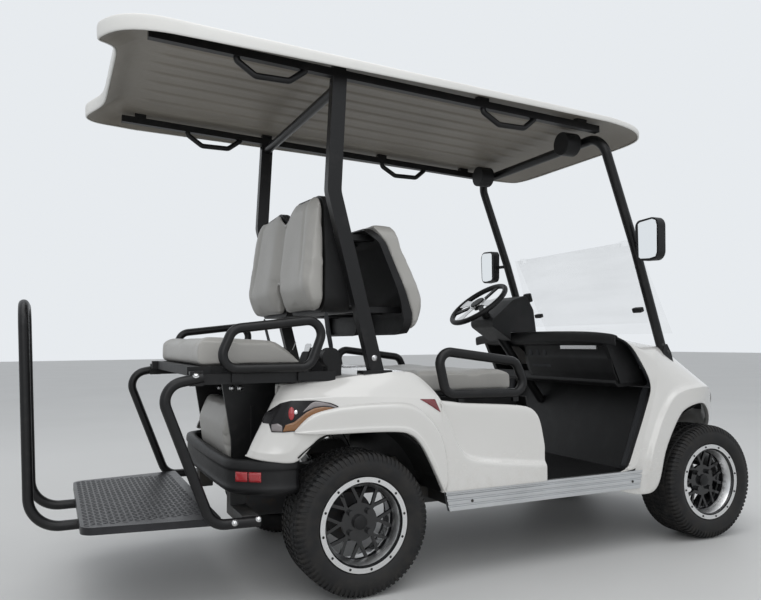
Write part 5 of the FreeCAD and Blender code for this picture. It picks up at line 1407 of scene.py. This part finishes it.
def studs():
    studded("frame_studs", FRAME_STUDS, ["rear_seat_frame_finished", "step_tubes_finished", "rear_hoop_finished",
                                         "rear_bumper_skin", "arm_rails_finished", "rear_seat_pan_finished"],
            bolt_seed(0.0075, 0.006, 6, 1.5), BRIGHT)
    studded("rail_studs", RAIL_STUDS, ["rear_hoop_finished", "front_hoop_finished", "roof_rails_finished"],
            bolt_seed(0.006, 0.005, 6, 1.4), FRAME_PAINT)
    studded("sill_studs", SILL_STUDS, ["rocker_strips_finished"], dome_seed(0.006, 0.004), FRAME_PAINT)


CLIP_OUTLINE = ((-1, -0.8), (-0.8, -1), (0.8, -1), (1, -0.8), (1, 0.8), (0.8, 1), (-0.8, 1), (-1, 0.8))


def screen_clips():
    """The clamps of the windshield, each on the sheet where the photograph shows it."""
    find = surface_finder(["windshield_finished"])
    for mark, px, py, width, height in SCREEN_CLIPS:
        spot, normal = looked_at(find, px, py)
        across = Vector((0, 1, 0))
        place = Matrix((across, normal.cross(across).normalized(), normal)).transposed().to_4x4()
        place.translation = spot - normal * 0.012
        plate("screen_clip_" + mark, [(a * width / 2000, b * height / 2000) for a, b in CLIP_OUTLINE], 0.024,
              MOULDED, place, bevel=0.003)


# Outline of a mirror's glass: y, z in millimetres; and how far forward its face lies
MIRROR_GLASS = ((588, 1290), (598, 1283), (650, 1279), (684, 1284), (692, 1300), (696, 1420), (690, 1444), (672, 1452),
                (600, 1447), (588, 1440))
MIRROR_X = 1349.6


def mirror_glass():
    facing_back = Matrix(((0, 0, -1), (-1, 0, 0), (0, 1, 0))).to_4x4()
    for hand in HANDS:
        plate(handed("mirror_glass", hand), [(-hand * y / 1000, z / 1000) for y, z in MIRROR_GLASS], 0.002, MIRROR,
              Matrix.Translation(at(MIRROR_X, 0, 0)) @ facing_back)


# The steering wheel's place and tilt, and its silver blades, in millimetres in its own plane
WHEEL_PLACE, WHEEL_TILT = (1047, 270, 1118), -37.3
SIDE_BLADE = ((14, 34), (22, 60), (24, 100), (34, 142), (8, 150), (-30, 146), (-34, 118), (-22, 80), (-20, 40))
LOW_BLADE = ((-20, -26), (-20, 26), (-60, 20), (-110, 22), (-150, 34), (-150, -34), (-110, -22), (-60, -20))


def wheel_trim():
    """The silver spokes of the steering wheel and its hub."""
    wheel = Matrix.Translation(at(*WHEEL_PLACE)) @ Matrix.Rotation(math.radians(WHEEL_TILT), 4, "Y")
    circle = [(math.cos(math.pi * i / 18), math.sin(math.pi * i / 18)) for i in range(36)]
    for name, outline, thickness, finish, height, bevel in (
            ("silver_left", SIDE_BLADE, 4, BRIGHT, 4, 0.001),
            ("silver_right", [(x, -y) for x, y in SIDE_BLADE], 4, BRIGHT, 4, 0.001),
            ("silver_low", LOW_BLADE, 4, BRIGHT, 3, 0.001),
            ("hub_ring", [(47 * x, 47 * y) for x, y in circle], 5, BRIGHT, 6, 0.001),
            ("hub_pad", [(40 * x, 40 * y) for x, y in circle], 8, MOULDED, 9, 0.003)):
        plate("wheel_" + name, [(x / 1000, y / 1000) for x, y in outline], thickness / 1000, finish,
              wheel @ Matrix.Translation((0, 0, height / 1000)), "steering", bevel)


def platform_tread():
    """Raised lozenges on the footrest, leaning left and right in turn."""
    tread = bmesh.new()
    rim_line = [(0.014, 0), (0.009, 0.0042), (-0.009, 0.0042), (-0.014, 0), (-0.009, -0.0042), (0.009, -0.0042)]
    grid = [[tread.verts.new((x * a, y * b, z)) for x, y in rim_line] for a, b, z in ((1, 1, -0.0005),
                                                                                      (0.62, 0.4, 0.0022))]
    tread.faces.new(grid[0][::-1])
    tread.faces.new(grid[1])
    sheet(tread, grid, closed=True)
    places = [(at(-924 + 20 * i, -412 + 24 * k + 12 * (i % 2), 321),
               Euler((0, 0, math.radians(38 if (i + k) % 2 else -38)))) for i in range(20) for k in range(35)]
    copies("platform_tread", outward(tread), places, TREAD_PLATE)


BELT_BAND = (((-62, 392, 888), (-62, 440, 888)), ((-70, 396, 930), (-70, 440, 930)), ((-84, 404, 985), (-84, 448, 985)),
             ((-90, 410, 1040), (-90, 452, 1040)))
BUCKLE = [(-0.055, -0.008), (-0.006, -0.008), (0, -0.02), (0.05, -0.02), (0.056, -0.014), (0.056, 0.014), (0.05, 0.02),
          (0, 0.02), (-0.006, 0.008), (-0.055, 0.008)]
TONGUE = [(0.05, -0.012), (0.084, -0.018), (0.09, -0.01), (0.09, 0.01), (0.084, 0.018), (0.05, 0.012)]


def belts():
    """The rear belts: webbing out of each retractor, and the buckles behind the cushion with their tongues."""
    for hand in HANDS:
        band = [[(x, hand * y, z) for x, y, z in row] for row in BELT_BAND]
        net_piece(handed("belt_band", hand), band, TRIM, thick=0.0022, hands=(1,))
        for part, spot, turn in (("a", (-146, hand * 330, 830), 0.4), ("b", (-148, hand * 150, 836), -0.3)):
            place = Matrix.Translation(at(*spot)) @ Euler((0.0, -1.15, turn)).to_matrix().to_4x4()
            plate(handed("belt_buckle_" + part, hand), BUCKLE, 0.014, MOULDED, place, bevel=0.003)
            plate(handed("belt_tongue_" + part, hand), TONGUE, 0.003, BRIGHT,
                  place @ Matrix.Translation((0, 0, 0.007)), bevel=0.0006)


lamps()
rear_bumper()
roof()
studs()
screen_clips()
mirror_glass()
wheel_trim()
platform_tread()
belts()
